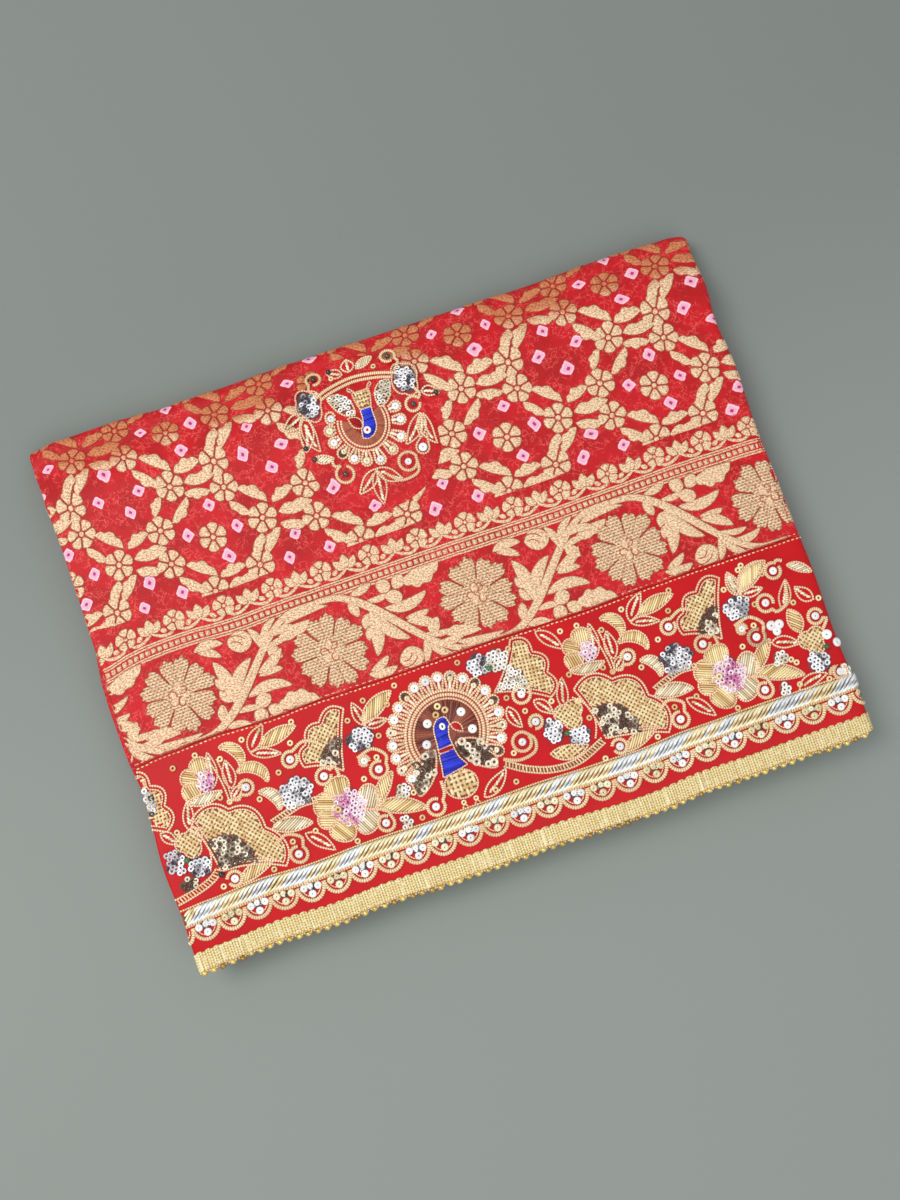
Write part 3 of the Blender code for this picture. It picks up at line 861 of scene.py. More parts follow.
class Figures:
    """Flat figures with a soft rounded edge, gathered into one closed mesh on the cloth."""

    def __init__(self, top=0.26, edge=0.10, inset=0.7, step=3.4):
        self.top, self.edge, self.inset, self.step, self.layers = top, edge, inset, step, 0
        self.places, self.heights, self.inner, self.faces, self.count = [], [], [], [], 0

    def add(self, outline, top=None, lift=0.0):
        outline = np.asarray(outline, float)
        if len(outline) < 3 or abs(polygon_area(outline)) < 0.4:
            return
        if polygon_area(outline) < 0:
            outline = outline[::-1]
        self.layers += 1
        lift += 0.045 * (self.layers % 3)
        top = lift + (self.top if top is None else top)
        size = len(outline)
        within = outline + rim_normals(outline) * self.inset
        low, high = outline.min(axis=0), outline.max(axis=0)
        grid = np.mgrid[low[0] + 0.3:high[0]:self.step, low[1] + 0.3:high[1]:self.step].reshape(2, -1).T
        free = np.concatenate([within, grid]) if self.inset else grid
        keep = inside(free, outline) & (away_from_edge(free, outline) > max(0.75 * self.inset, 0.3))
        ring = np.arange(len(free)) < (size if self.inset else 0)
        deep = away_from_edge(free, outline) > 1.6 * max(self.inset, 0.5)
        free = free[keep & (ring | deep)]
        verts = np.concatenate([outline, free])
        found = delaunay_2d_cdt([Vector(p) for p in verts], [], [list(range(size))], 1, 1e-4)
        made, triangles = np.array([v[:] for v in found[0]]), found[2]
        if not triangles:
            return
        away = away_from_edge(made, outline)
        height = lift + self.edge + (top - lift - self.edge) * smooth(away / max(self.inset * 1.5, 1e-3))
        edges = {}
        for face in triangles:
            for a, b in zip(face, face[1:] + face[:1]):
                edges[(a, b)] = edges.get((a, b), 0) + 1
        rim = [(a, b) for a, b in edges if (b, a) not in edges]
        below = {}
        for a, b in rim:
            for index in (a, b):
                below.setdefault(index, len(made) + len(below))
        skirt = [(b, a, below[a], below[b]) for a, b in rim]
        foot = made[list(below)]
        self.places += [made, foot]
        self.heights += [height, np.full(len(foot), lift - 0.4)]
        if away.max() > BROAD:
            self.inner += [smooth(away / 1.7), np.zeros(len(foot))]
        else:
            self.inner += [np.ones(len(made)), np.ones(len(foot))]
        self.faces += [tuple(i + self.count for i in face) for face in [*triangles, *skirt]]
        self.count += len(made) + len(foot)

    def build(self, name, material, slot):
        places, heights = np.concatenate(self.places), np.concatenate(self.heights)
        points = surface(places[:, 0], places[:, 1], heights)
        points[:, 2] = np.maximum(points[:, 2], -PRESSED)
        obj = new_object(name, points, self.faces, material)
        give_cloth_place(obj, places)
        give_attribute(obj.data, "inner", np.concatenate(self.inner))
        return belongs(obj, slot)


# Geometry Nodes
def node_group(name, inputs):
    """A geometry tree with named inputs, as (name, socket type) rows after the geometry."""
    tree = bpy.data.node_groups.new(name, "GeometryNodeTree")
    tree.interface.new_socket("Geometry", in_out="INPUT", socket_type="NodeSocketGeometry")
    tree.interface.new_socket("Geometry", in_out="OUTPUT", socket_type="NodeSocketGeometry")
    for label, kind in inputs:
        tree.interface.new_socket(label, in_out="INPUT", socket_type=kind)
    return tree, tree.nodes.new("NodeGroupInput"), tree.nodes.new("NodeGroupOutput")


def add_node(tree, kind, settings=(), inputs=()):
    node = tree.nodes.new(kind)
    for name, value in dict(settings).items():
        setattr(node, name, value)
    for name, value in dict(inputs).items():
        if isinstance(value, bpy.types.NodeSocket):
            tree.links.new(value, node.inputs[name])
        else:
            node.inputs[name].default_value = value
    return node


def named(tree, name, kind):
    """The output of an attribute of the points."""
    return add_node(tree, "GeometryNodeInputNamedAttribute", {"data_type": kind}, {"Name": name}).outputs[0]

def scatter_tree():
    """One shape on every point, turned by the attribute turn and sized by the attribute size."""
    tree, given, result = node_group("scatter", [
        ("Shape", "NodeSocketObject"), ("Scale", "NodeSocketFloat"), ("Material", "NodeSocketMaterial"),
    ])
    shape = add_node(tree, "GeometryNodeObjectInfo", {}, {"Object": given.outputs["Shape"]})
    turn, size = named(tree, "turn", "FLOAT_VECTOR"), named(tree, "size", "FLOAT_VECTOR")
    rotation = add_node(tree, "FunctionNodeEulerToRotation", {}, {"Euler": turn})
    scaled = add_node(tree, "ShaderNodeVectorMath", {"operation": "SCALE"},
                      {0: size, "Scale": given.outputs["Scale"]})
    copies = add_node(tree, "GeometryNodeInstanceOnPoints", {}, {
        "Points": given.outputs["Geometry"], "Instance": shape.outputs["Geometry"],
        "Rotation": rotation.outputs[0], "Scale": scaled.outputs[0],
    })
    solid = add_node(tree, "GeometryNodeRealizeInstances", {}, {"Geometry": copies.outputs[0]})
    painted = add_node(tree, "GeometryNodeSetMaterial", {},
                       {"Geometry": solid.outputs[0], "Material": given.outputs["Material"]})
    tree.links.new(painted.outputs[0], result.inputs[0])
    return tree


def cord_tree():
    """A round cord along every polyline, its radius in the attribute thick and its length in along."""
    tree, given, result = node_group("cord", [
        ("Sides", "NodeSocketInt"), ("Flatness", "NodeSocketFloat"), ("Material", "NodeSocketMaterial"),
    ])
    curve = add_node(tree, "GeometryNodeMeshToCurve", {}, {"Mesh": given.outputs["Geometry"]})
    thick = named(tree, "thick", "FLOAT")
    sized = add_node(tree, "GeometryNodeSetCurveRadius", {}, {"Curve": curve.outputs[0], "Radius": thick})
    gone = add_node(tree, "GeometryNodeSplineParameter")
    marked = add_node(tree, "GeometryNodeStoreNamedAttribute", {"data_type": "FLOAT", "domain": "POINT"},
                      {"Geometry": sized.outputs[0], "Name": "along", "Value": gone.outputs["Length"]})
    ring = add_node(tree, "GeometryNodeCurvePrimitiveCircle", {"mode": "RADIUS"},
                    {"Resolution": given.outputs["Sides"], "Radius": 1.0})
    scale = add_node(tree, "ShaderNodeCombineXYZ", {}, {"X": 1.0, "Y": given.outputs["Flatness"], "Z": 1.0})
    flat = add_node(tree, "GeometryNodeTransform", {},
                    {"Geometry": ring.outputs[0], "Scale": scale.outputs[0]})
    tube = add_node(tree, "GeometryNodeCurveToMesh", {}, {
        "Curve": marked.outputs[0], "Profile Curve": flat.outputs[0], "Fill Caps": True,
    })
    if "Scale" in tube.inputs:
        tree.links.new(named(tree, "thick", "FLOAT"), tube.inputs["Scale"])
    soft = add_node(tree, "GeometryNodeSetShadeSmooth", {}, {"Geometry": tube.outputs[0]})
    painted = add_node(tree, "GeometryNodeSetMaterial", {},
                       {"Geometry": soft.outputs[0], "Material": given.outputs["Material"]})
    tree.links.new(painted.outputs[0], result.inputs[0])
    return tree


def run_tree(name, base, tree, values):
    """Evaluates a tree on the base object and keeps the result as a plain mesh."""
    modifier = base.modifiers.new("build", "NODES")
    modifier.node_group = tree
    for item in tree.interface.items_tree:
        if item.item_type == "SOCKET" and item.in_out == "INPUT" and item.name in values:
            modifier[item.identifier] = values[item.name]
    bpy.context.view_layer.update()
    graph = bpy.context.evaluated_depsgraph_get()
    mesh = bpy.data.meshes.new_from_object(base.evaluated_get(graph), depsgraph=graph)
    base.modifiers.remove(modifier)
    bpy.data.objects.remove(base)
    mesh.name = name
    return linked(name, mesh)


def hidden_shape(name, points, faces):
    """A small shape for the scatter tree, kept out of the scene."""
    obj = new_object(name, points, faces)
    bpy.context.scene.collection.objects.unlink(obj)
    bm = bmesh.new()
    bm.from_mesh(obj.data)
    bmesh.ops.recalc_face_normals(bm, faces=bm.faces)
    bm.to_mesh(obj.data)
    bm.free()
    return obj


def quads(rows, columns, closed=False):
    """Faces between neighbouring rings of points, and from the last ring to the first if closed."""
    faces = []
    for row in range(rows if closed else rows - 1):
        after = (row + 1) % rows
        for i in range(columns):
            j = (i + 1) % columns
            faces.append((row * columns + i, row * columns + j, after * columns + j, after * columns + i))
    return faces

def circle(columns, radius, height):
    turn = np.linspace(0, 2 * math.pi, columns + 1)[:-1]
    return np.stack([radius * np.cos(turn), radius * np.sin(turn), np.full(columns, height)], -1)

def stitch_shape(sections):
    """A laid stitch of unit length, width and height: an arch with a rounded back."""
    rings = []
    for x, top in sections:
        half = 0.5 * (0.7 + 0.3 * top)
        arch = ((-half, -0.25), (-half, top * 0.55), (0, top), (half, top * 0.55), (half, -0.25))
        rings.append([(x, y, z) for y, z in arch])
    rows, count = len(rings), len(rings[0])
    ends = [tuple(range(count))[::-1], tuple(range((rows - 1) * count, rows * count))]
    return np.concatenate(rings), quads(rows, count) + ends

def ball_shape(rows, columns):
    angles = np.linspace(0, math.pi, rows + 1)[1:-1]
    rings = [circle(columns, np.sin(angle), -np.cos(angle)) for angle in angles]
    points, faces = np.concatenate(rings), quads(len(rings), columns)
    low, high = len(points), len(points) + 1
    last = (len(rings) - 1) * columns
    for i in range(columns):
        j = (i + 1) % columns
        faces += [(low, j, i), (high, last + i, last + j)]
    return np.concatenate([points, [[0, 0, -1], [0, 0, 1]]]), faces

def ring_shape(columns, profile):
    """A ring turned from a profile of (radius, height) points, closed."""
    points = np.concatenate([circle(columns, radius, height) for radius, height in profile])
    return points, quads(len(profile), columns, True)

# Stitches as (place along, height), and turned shapes as the points round them and a profile.
STITCH = ((-0.5, 0.2), (-0.32, 0.8), (0, 1.0), (0.32, 0.8), (0.5, 0.2))
KNOT = ((-0.5, 0.35), (0, 1.0), (0.5, 0.35))
TURNED = {
    "cup": (12, [(0.13, 0.30), (0.5, 0.42), (0.92, 0.24), (1.0, 0.0), (0.13, -0.12)]),
    "bead": (9, [(0.24, 0.62), (0.24, -0.62), (0.78, -0.6), (1.0, 0.0), (0.78, 0.6)]),
    "sequin": (8, [(0.32, 0.0), (0.8, 0.2), (1.0, 0.1), (0.9, 0.0), (0.32, -0.1)]),
    "ring": (10, [(0.26, 0.0), (0.5, 0.44), (0.82, 0.42), (1.0, 0.0), (0.6, -0.3)]),
}
FORMS = {"stitch": stitch_shape(STITCH), "knot": stitch_shape(KNOT), "ball": ball_shape(6, 10)}
FORMS.update({name: ring_shape(*row) for name, row in TURNED.items()})
SHAPES = {name: hidden_shape("shape_" + name, *form) for name, form in FORMS.items()}
SCATTER = scatter_tree()
CORD = cord_tree()


class Scatter:
    """Copies of one shape, laid on the cloth."""

    def __init__(self, shape):
        self.shape, self.rows = shape, []

    def add(self, u, v, lift=0.0, turn_deg=0.0, size=(1.0, 1.0, 1.0), tilt=(0.0, 0.0), tint=0.5):
        self.rows.append((u, v, lift, turn_deg, *size, *tilt, tint))

    def build(self, name, material, slot):
        rows = np.array(self.rows, float)
        here, along, normal = surface_frame(rows[:, 0], rows[:, 1], rows[:, 2])
        across = np.cross(normal, along)
        yaw = np.radians(rows[:, 3])[:, None]
        x = along * np.cos(yaw) + across * np.sin(yaw)
        y = np.cross(normal, x)
        tilt_x, tilt_y = np.radians(rows[:, 7])[:, None], np.radians(rows[:, 8])[:, None]
        y, z = y * np.cos(tilt_x) + normal * np.sin(tilt_x), normal * np.cos(tilt_x) - y * np.sin(tilt_x)
        x, z = x * np.cos(tilt_y) - z * np.sin(tilt_y), z * np.cos(tilt_y) + x * np.sin(tilt_y)
        pitch = -np.arcsin(np.clip(x[:, 2], -1, 1))
        turn = np.stack([np.arctan2(y[:, 2], z[:, 2]), pitch, np.arctan2(x[:, 1], x[:, 0])], -1)
        base = new_object(name + "_points", here, [])
        for label, values in (("turn", turn), ("size", rows[:, 4:7]), ("tint", rows[:, 9])):
            give_attribute(base.data, label, values)
        values = {"Shape": SHAPES[self.shape], "Scale": MM, "Material": material}
        return belongs(run_tree(name, base, SCATTER, values), slot)


class Cords:
    """Cords laid on the cloth along polylines."""

    def __init__(self, coiled=0.12):
        self.lines, self.coiled = [], coiled

    def add(self, points, radius=0.55, lift=0.35, low=CORD_LEFT, high=CORD_RIGHT):
        """Low and high are where the cord is cut at the folds of the sides."""
        points = np.asarray(points, float)
        lifts = np.broadcast_to(np.asarray(lift, float), len(points))
        kept = (points[:, 0] > low) & (points[:, 0] < high)
        ends = np.flatnonzero(np.diff(np.concatenate([[0], kept.astype(int), [0]])))
        for start, end in zip(ends[::2], ends[1::2]):
            if end - start > 2:
                self.lines.append((points[start:end], radius, lifts[start:end]))

    def build(self, name, material, slot, sides=6, flatness=1.0):
        places = np.concatenate([line for line, _, _ in self.lines])
        lifts = np.concatenate([lift for _, _, lift in self.lines])
        wave = [1.0 + self.coiled * (-1.0) ** np.arange(len(line)) for line, _, _ in self.lines]
        thick = np.concatenate([radius * MM * bumps for (_, radius, _), bumps in zip(self.lines, wave)])
        shares = RANDOM.uniform(0, 1, len(self.lines)) ** 2
        tint = np.concatenate([np.full(len(line), share) for (line, _, _), share in zip(self.lines, shares)])
        edges, first = [], 0
        for line, _, _ in self.lines:
            edges += [(i, i + 1) for i in range(first, first + len(line) - 1)]
            first += len(line)
        mesh = bpy.data.meshes.new(name + "_path")
        mesh.from_pydata([tuple(p) for p in surface(places[:, 0], places[:, 1], lifts)], edges, [])
        for label, values in (("thick", thick), ("tint", tint)):
            give_attribute(mesh, label, values)
        base = linked(name + "_path", mesh)
        values = {"Sides": sides, "Flatness": flatness, "Material": material}
        return belongs(run_tree(name, base, CORD, values), slot)


# The folded cloth pieces
def slab(name, us, vs, height, material, slot, foot):
    """A closed low slab on the top layer; height gives u, v and mm over the sheet for two grids."""
    grid_u, grid_v, rise = height(*np.meshgrid(us, vs, indexing="ij"))
    upper, lower = surface(grid_u, grid_v, rise), surface(grid_u, grid_v, foot)
    return belongs(closed_grid(name, upper, lower, material, 55, np.stack([grid_u, grid_v], -1)), slot)

def make_sheets(silk):
    panel_v = depth_spacing((BAND_EDGE + PIECE_GAP) / MM, [
        ((INNER_RUN_Y - HEM_Y) / MM, 4.0), (NOSE_V / MM, 2.6), (LOWER_V / MM, 1.9),
        (FRONT_V / MM, 11.0), (INNER_V / MM, 2.4), (END_V / MM, 14.0),
    ])
    panel = folded_sheet("silk_panel", line_spacing(4.2, 16.0), panel_v, silk)
    belongs(panel, "red_silk", "cloth")
    band_v = depth_spacing(0.0, [(BAND_EDGE / MM, 2.8)])
    band = folded_sheet("satin_band", line_spacing(3.2, 16.0), band_v, plain_satin("band_satin"))
    belongs(band, "red_satin", "band")
    lace_v = depth_spacing(LACE_EDGE / MM, [(-PIECE_GAP / MM, 1.7)])
    lace = folded_sheet("lace_ribbon", line_spacing(2.5, 10.0), lace_v, ribbed_ribbon())
    belongs(lace, "gold_lace", "lace")
    return panel, band, lace


# Brocade figures
def round_petal(centre, angle_deg, inner, outer, width, step=1.25, spread_deg=None):
    """An egg-shaped petal, broader towards its outer end. The spread keeps it in its share of a flower."""
    turn = np.linspace(0.0, 2.0 * math.pi, 37)[:-1]
    along = inner + (outer - inner) / 2 * (1.0 - np.cos(turn))
    across = 0.5 * width * np.sin(turn) * (0.90 - 0.18 * np.cos(turn))
    if spread_deg:
        limit = along * math.tan(math.radians(spread_deg)) - 0.16
        across = np.clip(across * np.abs(np.sin(turn) + 1e-9) ** -0.16, -limit, limit)
    out = heading(angle_deg)
    petal = np.asarray(centre) + along[:, None] * out + across[:, None] * left_of(out)
    return spaced(petal, step, closed=True)


def rosette(figures, centre, radius, petals, first_deg, heart=0.2):
    """A round flower of full petals about a round heart, with a thin line of ground between them."""
    figures.add(arc(centre[0], centre[1], radius * (heart - 0.03), 0, 350, step=0.9))
    width = 2 * 0.755 * radius * math.tan(math.pi / petals)
    for number in range(petals):
        angle = first_deg + 360.0 * number / petals
        figures.add(round_petal(centre, angle, radius * heart, radius, width, 1.1, 180.0 / petals))


# Net flowers of one cell, from its middle flower. Columns: u, v, radius, petals, turn.
NET_FLOWERS = (
    (0.0, 0.0, 9.2, 6, 15),
    (-15.0, 36.2, 9.4, 6, 20),
    (16.6, 25.8, 9.2, 6, 45),
    (32.4, 1.0, 9.4, 6, 10),
    (22.2, -25.0, 9.4, 6, 30),
    (-29.8, -8.6, 9.0, 6, 0),
    (-29.4, 12.2, 9.2, 6, 25),
)

# Leaves along the net, from the cell's flower. Columns: base u, v, tip u, v, width, bend, lobes.
NET_LEAVES = (
    (-9.8, 43.4, 8.6, 45.0, 7.6, 1.2, 3),
    (-6.4, 36.2, 14.6, 35.4, 8.6, 0.4, 2),
    (-8.4, 30.2, 9.0, 26.8, 7.2, -0.9, 3),
    (23.4, 22.6, 38.6, 8.8, 7.8, 2.4, 3),
    (16.6, 17.4, 27.6, 5.0, 6.6, -1.2, 2),
    (29.6, -7.2, 19.6, -18.0, 7.4, 1.3, 2),
    (41.0, -7.6, 28.2, -21.2, 7.6, -1.8, 3),
    (40.8, 7.6, 56.4, 13.0, 7.8, 1.6, 3),
    (42.0, 1.2, 64.6, 1.4, 9.0, 0.0, 2),
    (40.8, -5.2, 57.6, -10.4, 7.2, -1.2, 2),
    (-22.0, -11.4, -4.2, -23.2, 7.8, 2.2, 3),
    (-28.0, -16.8, -11.4, -30.4, 7.2, -1.5, 3),
    (-34.8, 0.6, -41.0, 3.4, 6.8, 0.0, 2),
    (-29.8, 20.4, -21.8, 32.0, 6.8, 1.6, 3),
    (-21.4, 14.6, -6.8, 28.4, 7.2, -1.9, 3),
)


# Where the border and the net begin, in mm from the hem
BORDER_START = 112.7
NET_START = 192.6

class Placed:
    """Figures added through a shift, and cut at the edges of the top layer."""

    def __init__(self, figures, shift, flip=1.0, low_v=BORDER_START, widen=False):
        self.figures, self.shift, self.flip, self.low_v, self.widen = figures, shift, flip, low_v, widen

    def add(self, outline, top=None, lift=0.0):
        outline = moved(outline, self.shift, flip=self.flip)
        if self.widen:
            u = outline[:, 0]
            to_right, to_left = np.clip(u - NET_RIGHT[0], 0, None), np.clip(NET_LEFT[0] - u, 0, None)
            outline[:, 0] += NET_RIGHT[1] * to_right + NET_LEFT[1] * to_left
        else:
            outline[:, 1] -= 3.2 * smooth((-178 - outline[:, 0]) / 32) * smooth((outline[:, 1] - 140) / 25)
        for axis, limit, above in ((1, self.low_v, True), (0, FIGURES_LEFT, True), (0, FIGURES_RIGHT, False)):
            if len(outline) < 3:
                return
            past = outline[:, axis] < limit if above else outline[:, axis] > limit
            if past.any():
                outline = clipped(outline, axis, limit, above)
        if len(outline) > 2:
            self.figures.add(outline, top, lift)

def add_leaves(figures, rows, depth=0.32, blunt=0.3, step=1.5):
    for base_u, base_v, tip_u, tip_v, width, bend, lobes in rows:
        figures.add(leaf_outline((base_u, base_v), (tip_u, tip_v), width, bend, lobes, depth, blunt, step))


def silk_net(material):
    """The net over the whole outer layer: finer on top and over the nose than underneath."""
    top, under = Figures(top=0.38), Figures(top=0.2, edge=0.12, inset=0, step=6.0)
    for row in range(-1, 10):
        for column in range(-4, 5):
            u = NET_ORIGIN[0] + NET_A * column + NET_B[0] * row
            v = NET_ORIGIN[1] + NET_B[1] * row
            if -250 < u < 262 and v < END_V / MM + 10:
                below = v > LOWER_V / MM + 20
                cell = Placed(under if below else top, (u, v), low_v=NET_START, widen=True)
                for flower_u, flower_v, radius, petals, turn in NET_FLOWERS:
                    rosette(cell, (flower_u, flower_v), radius, petals, turn)
                add_leaves(cell, NET_LEAVES, 0.4, 0.45, 2.6 if below else 1.1)
    top.build("net_figures", material, "red_silk")
    under.build("net_figures_under", material, "red_silk")


# Leaves of the creeper between two great flowers, from the middle of the gap.
# Columns: base u, v, tip u, v, width, bend, lobes.
CREEPER_LEAVES = (
    (-18.0, -4.0, -23.4, 4.6, 6.0, 1.0, 0),
    (-17.0, -11.4, -23.2, -2.6, 6.6, 1.2, 0),
    (5.4, -23.6, 31.4, -27.6, 11.6, 3.2, 4),
    (-74.0, -15.3, -51.6, -19.6, 8.4, 1.6, 2),
    (-70.0, -20.8, -38.4, -23.4, 5.6, -2.6, 0),
    (-80.6, -13.4, -73.6, -3.6, 8.0, 1.2, 0),
)
# Round lobes under the creeper. Columns: base u, v, tip u, v, width.
CREEPER_LOBES = (
    (-6.4, -18.2, 4.4, -13.8, 9.0),
    (-8.8, -27.4, -1.4, -20.6, 9.2),
    (0.2, -20.4, 8.0, -27.0, 8.4),
)
# Its blades. Columns: base u, base v, direction, length, width, bend.
CREEPER_BLADES = (
    (-17.0, -14.0, 100, 29.0, 9.0, -2.4),
    (-16.0, -13.0, 54, 29.0, 8.0, 3.6),
    (-31.0, 22.0, 2, 19.0, 6.4, 2.2),
    (-29.0, 21.0, -24, 15.0, 5.6, 1.6),
    (8.0, 12.0, 108, 16.0, 5.6, -1.8),
    (9.0, 14.0, 46, 19.0, 5.4, 2.6),
    (14.0, 17.0, -5, 20.0, 5.6, 3.2),
    (9.0, 10.0, 8, 18.0, 4.6, 2.2),
    (1.0, 0.0, 28, 21.0, 7.0, -1.8),
    (1.0, -2.0, -2, 16.0, 5.6, 1.4),
    (-9.0, -12.0, -4, 28.0, 7.6, 4.2),
    (-17.0, -19.0, -2, 14.0, 4.0, 1.4),
    (-26.0, -25.5, -12, 15.5, 5.6, 1.4),
    (-28.0, -22.0, 72, 11.5, 6.6, -0.5),
)
BUD = ((-11.0, 22.0), (5.0, 20.5), 13.6)
STEM_RISE = 27.4
STEM_REACH = 38.0


def creeper_stem():
    """The stem between two great flowers: a half wave from the lower edge to the upper one."""
    us = np.linspace(-47.0, 47.0, 19)
    return np.stack([us, STEM_RISE * np.sin(0.5 * math.pi * np.clip((us + 2.5) / STEM_REACH, -1.0, 1.0))], -1)


# Great flowers of the border. Columns: u, v.
GREAT_FLOWERS = (
    (-264.0, 138.0), (-171.0, 141.4), (-78.6, 137.4), (14.6, 141.6), (109.4, 137.6), (200.5, 141.0),
)
# Its petals differ by turns: their reach, their lobes and how far they lean.
PETAL_REACHES = (24.4, 22.6, 23.8, 22.8, 24.2)
PETAL_LOBES = (3, 2, 3)
PETAL_LEANS = (1.6, -1.2, 0.6, -1.8)
# Leaves of its heart. Columns: direction, length, width.
HEART_LEAVES = ((20, 7.0, 5.4), (95, 6.4, 5.0), (160, 7.2, 5.6), (228, 6.6, 5.2), (295, 7.0, 5.4))

def great_flower(figures, pierced, lines, turn):
    """A chrysanthemum: twelve petals with lobed ends, pierced with small holes, and a curled heart."""
    pierced.add(arc(0, 0, 9.4, 0, 350, step=1.2))
    for number in range(12):
        angle = turn + 30.0 * number + PETAL_LEANS[number % 4]
        reach, lobes = PETAL_REACHES[number % 5], PETAL_LOBES[number % 3]
        pierced.add(petal_outline((0, 0), angle, 5.5, reach, 11.8, lobes, 0.15))
    for start, reach, width in HEART_LEAVES:
        base, tip = 0.9 * heading(start + turn), reach * heading(start + turn + 34)
        figures.add(leaf_outline(base, tip, width, 1.4, blunt=0.9), lift=0.12)
    for number in range(3):
        centre = 4.4 * heading(turn + 35 + 120 * number)
        curl = arc(*centre, 3.1, turn + 200 + 120 * number, 290, 1.5, 0.7)
        lines.add(ribbon_outline(curl, (0.5, 0.65, 0.45), 1.0), lift=0.5)

# The vine's lotus: its place from the flower, its lobes as spread, height and width, and half its stem.
LOTUS_U = 15.2
LOTUS_LOBES = ((0.0, 12.6, 6.6), (6.8, 10.4, 5.6), (-6.8, 10.4, 5.6))
LOTUS_STEM = ((-0.6, 4.2), (3.4, 1.3), (8.0, -0.2), (12.0, 0.4), (14.4, 2.8))

def vine_repeat(figures):
    """A five-petalled flower and a lotus bud, with small drops between them and a crossing stem below."""
    rosette(figures, (0, 6.7), 6.5, 5, 90)
    for across, reach, width in LOTUS_LOBES:
        base, tip = (LOTUS_U + 0.1 * across, 3.4), (LOTUS_U + across, reach)
        figures.add(leaf_outline(base, tip, width, -across / 9, blunt=0.2, step=0.9))
    for side in (-1, 1):
        stem = [(LOTUS_U + side * away, v) for away, v in LOTUS_STEM]
        figures.add(ribbon_outline(stem, (1.3, 1.8, 1.9, 1.8, 1.3)))
        figures.add(leaf_outline((LOTUS_U + side * 9.4, 2.0), (LOTUS_U + side * 5.2, 4.4), 3.0, step=0.8))

# The ladder: its lines, its squares and their pitch. Then the vine over it and the seam under the border.
LADDER_LINES = (167.2, 168.6, 173.9, 175.3)
LADDER_V = 171.25
LADDER_PITCH = 3.72
SQUARE = ((-1.35, -1.4), (1.35, -1.4), (1.35, 1.4), (-1.35, 1.4))
VINE_V = 177.4
VINE_PITCH = 30.4
SEAM_PITCH = 3.8

def silk_border(gold, pierced_gold):
    """The creeper border with its great flowers, the ladder line and the small vine over it."""
    plain, pierced, lines = Figures(), Figures(), Figures(top=0.05, edge=0.03, inset=0)
    for (u1, v1), (u2, v2) in zip(GREAT_FLOWERS, GREAT_FLOWERS[1:]):
        gap = Placed(plain, ((u1 + u2) / 2, (v1 + v2) / 2 + 0.4), 1.0 if v1 > v2 else -1.0)
        gap.add(ribbon_outline(creeper_stem(), (4.2, 4.6, 5.4, 5.8, 5.6, 5.0, 4.6, 4.4, 4.2)), 0.36)
        add_leaves(gap, CREEPER_LEAVES, 0.34, 0.25)
        for row in CREEPER_LOBES:
            gap.add(leaf_outline(row[:2], row[2:4], row[4], blunt=1.0))
        for number, (base_u, base_v, direction, length, width, bend) in enumerate(CREEPER_BLADES):
            base = np.array([base_u, base_v])
            tip = base + length * heading(direction)
            blade = leaf_outline(base, tip, width, bend, blunt=0.65, step=1.2)
            gap.add(blade, 0.34 + 0.02 * (number % 3))
        gap.add(leaf_outline(BUD[0], BUD[1], BUD[2], blunt=1.0))
        veins = Placed(lines, gap.shift, gap.flip)
        for radius, start, sweep in ((8.0, 128, -100), (4.6, 120, -110)):
            vein = arc(-6.6, 17.6, radius, start, sweep, step=2.0)
            veins.add(ribbon_outline(vein, (0.5, 0.7, 0.5), 1.2), lift=0.33)
    for number, spot in enumerate(GREAT_FLOWERS[1:]):
        great_flower(*(Placed(figures, spot) for figures in (plain, pierced, lines)), 8.0 + 11.0 * number)
    clip = Placed(plain, (0.0, 0.0))
    for v in LADDER_LINES:
        for start in range(-220, 224, 20):
            line = [(start - 1, v), (start + 10, v + 0.15), (start + 21, v)]
            clip.add(ribbon_outline(line, (0.95, 0.95), 2.5))
    for number in range(-58, 59):
        clip.add(moved(SQUARE, (LADDER_PITCH * number + 1.2, LADDER_V)))
    for number in range(-7, 8):
        vine_repeat(Placed(plain, (-8.4 + VINE_PITCH * number, VINE_V)))
    for number in range(-60, 60):
        start = SEAM_PITCH * number
        end = start + 2.4 + 0.8 * math.sin(number)
        clip.add(ribbon_outline([(start, 113.5), (end, 113.6)], (0.6, 0.6), 1.5))
    plain.build("border_figures", gold, "red_silk")
    pierced.build("border_flowers", pierced_gold, "red_silk")
    lines.build("border_lines", Finish("border_lines", linear(184, 86, 66), 0.6).material, "red_silk")


# Metal-thread work
def hatch(outline, angle_deg, pitch):
    """Middle and length of the parallel stitches that fill an outline."""
    turned = moved(outline, turn_deg=-angle_deg)
    after = np.roll(turned, -1, axis=0)
    low, high = turned[:, 1].min(), turned[:, 1].max()
    rows = max(1, round((high - low) / pitch))
    found = []
    for y in low + (np.arange(rows) + 0.5) * (high - low) / rows:
        cut = (turned[:, 1] > y) != (after[:, 1] > y)
        share = (y - turned[cut, 1]) / (after[cut, 1] - turned[cut, 1])
        x = np.sort(turned[cut, 0] + share * (after[cut, 0] - turned[cut, 0]))
        for start, end in zip(x[::2], x[1::2]):
            if end - start > 0.8:
                found.append((*moved([((start + end) / 2, y)], turn_deg=angle_deg)[0], end - start))
    return found


def inset(outline, gap):
    """The outline drawn in by a gap, without what its corners would cross."""
    if polygon_area(outline) < 0:
        outline = outline[::-1]
    drawn = outline + rim_normals(outline) * gap
    return drawn[inside(drawn, outline) & (away_from_edge(drawn, outline) > 0.85 * gap)]


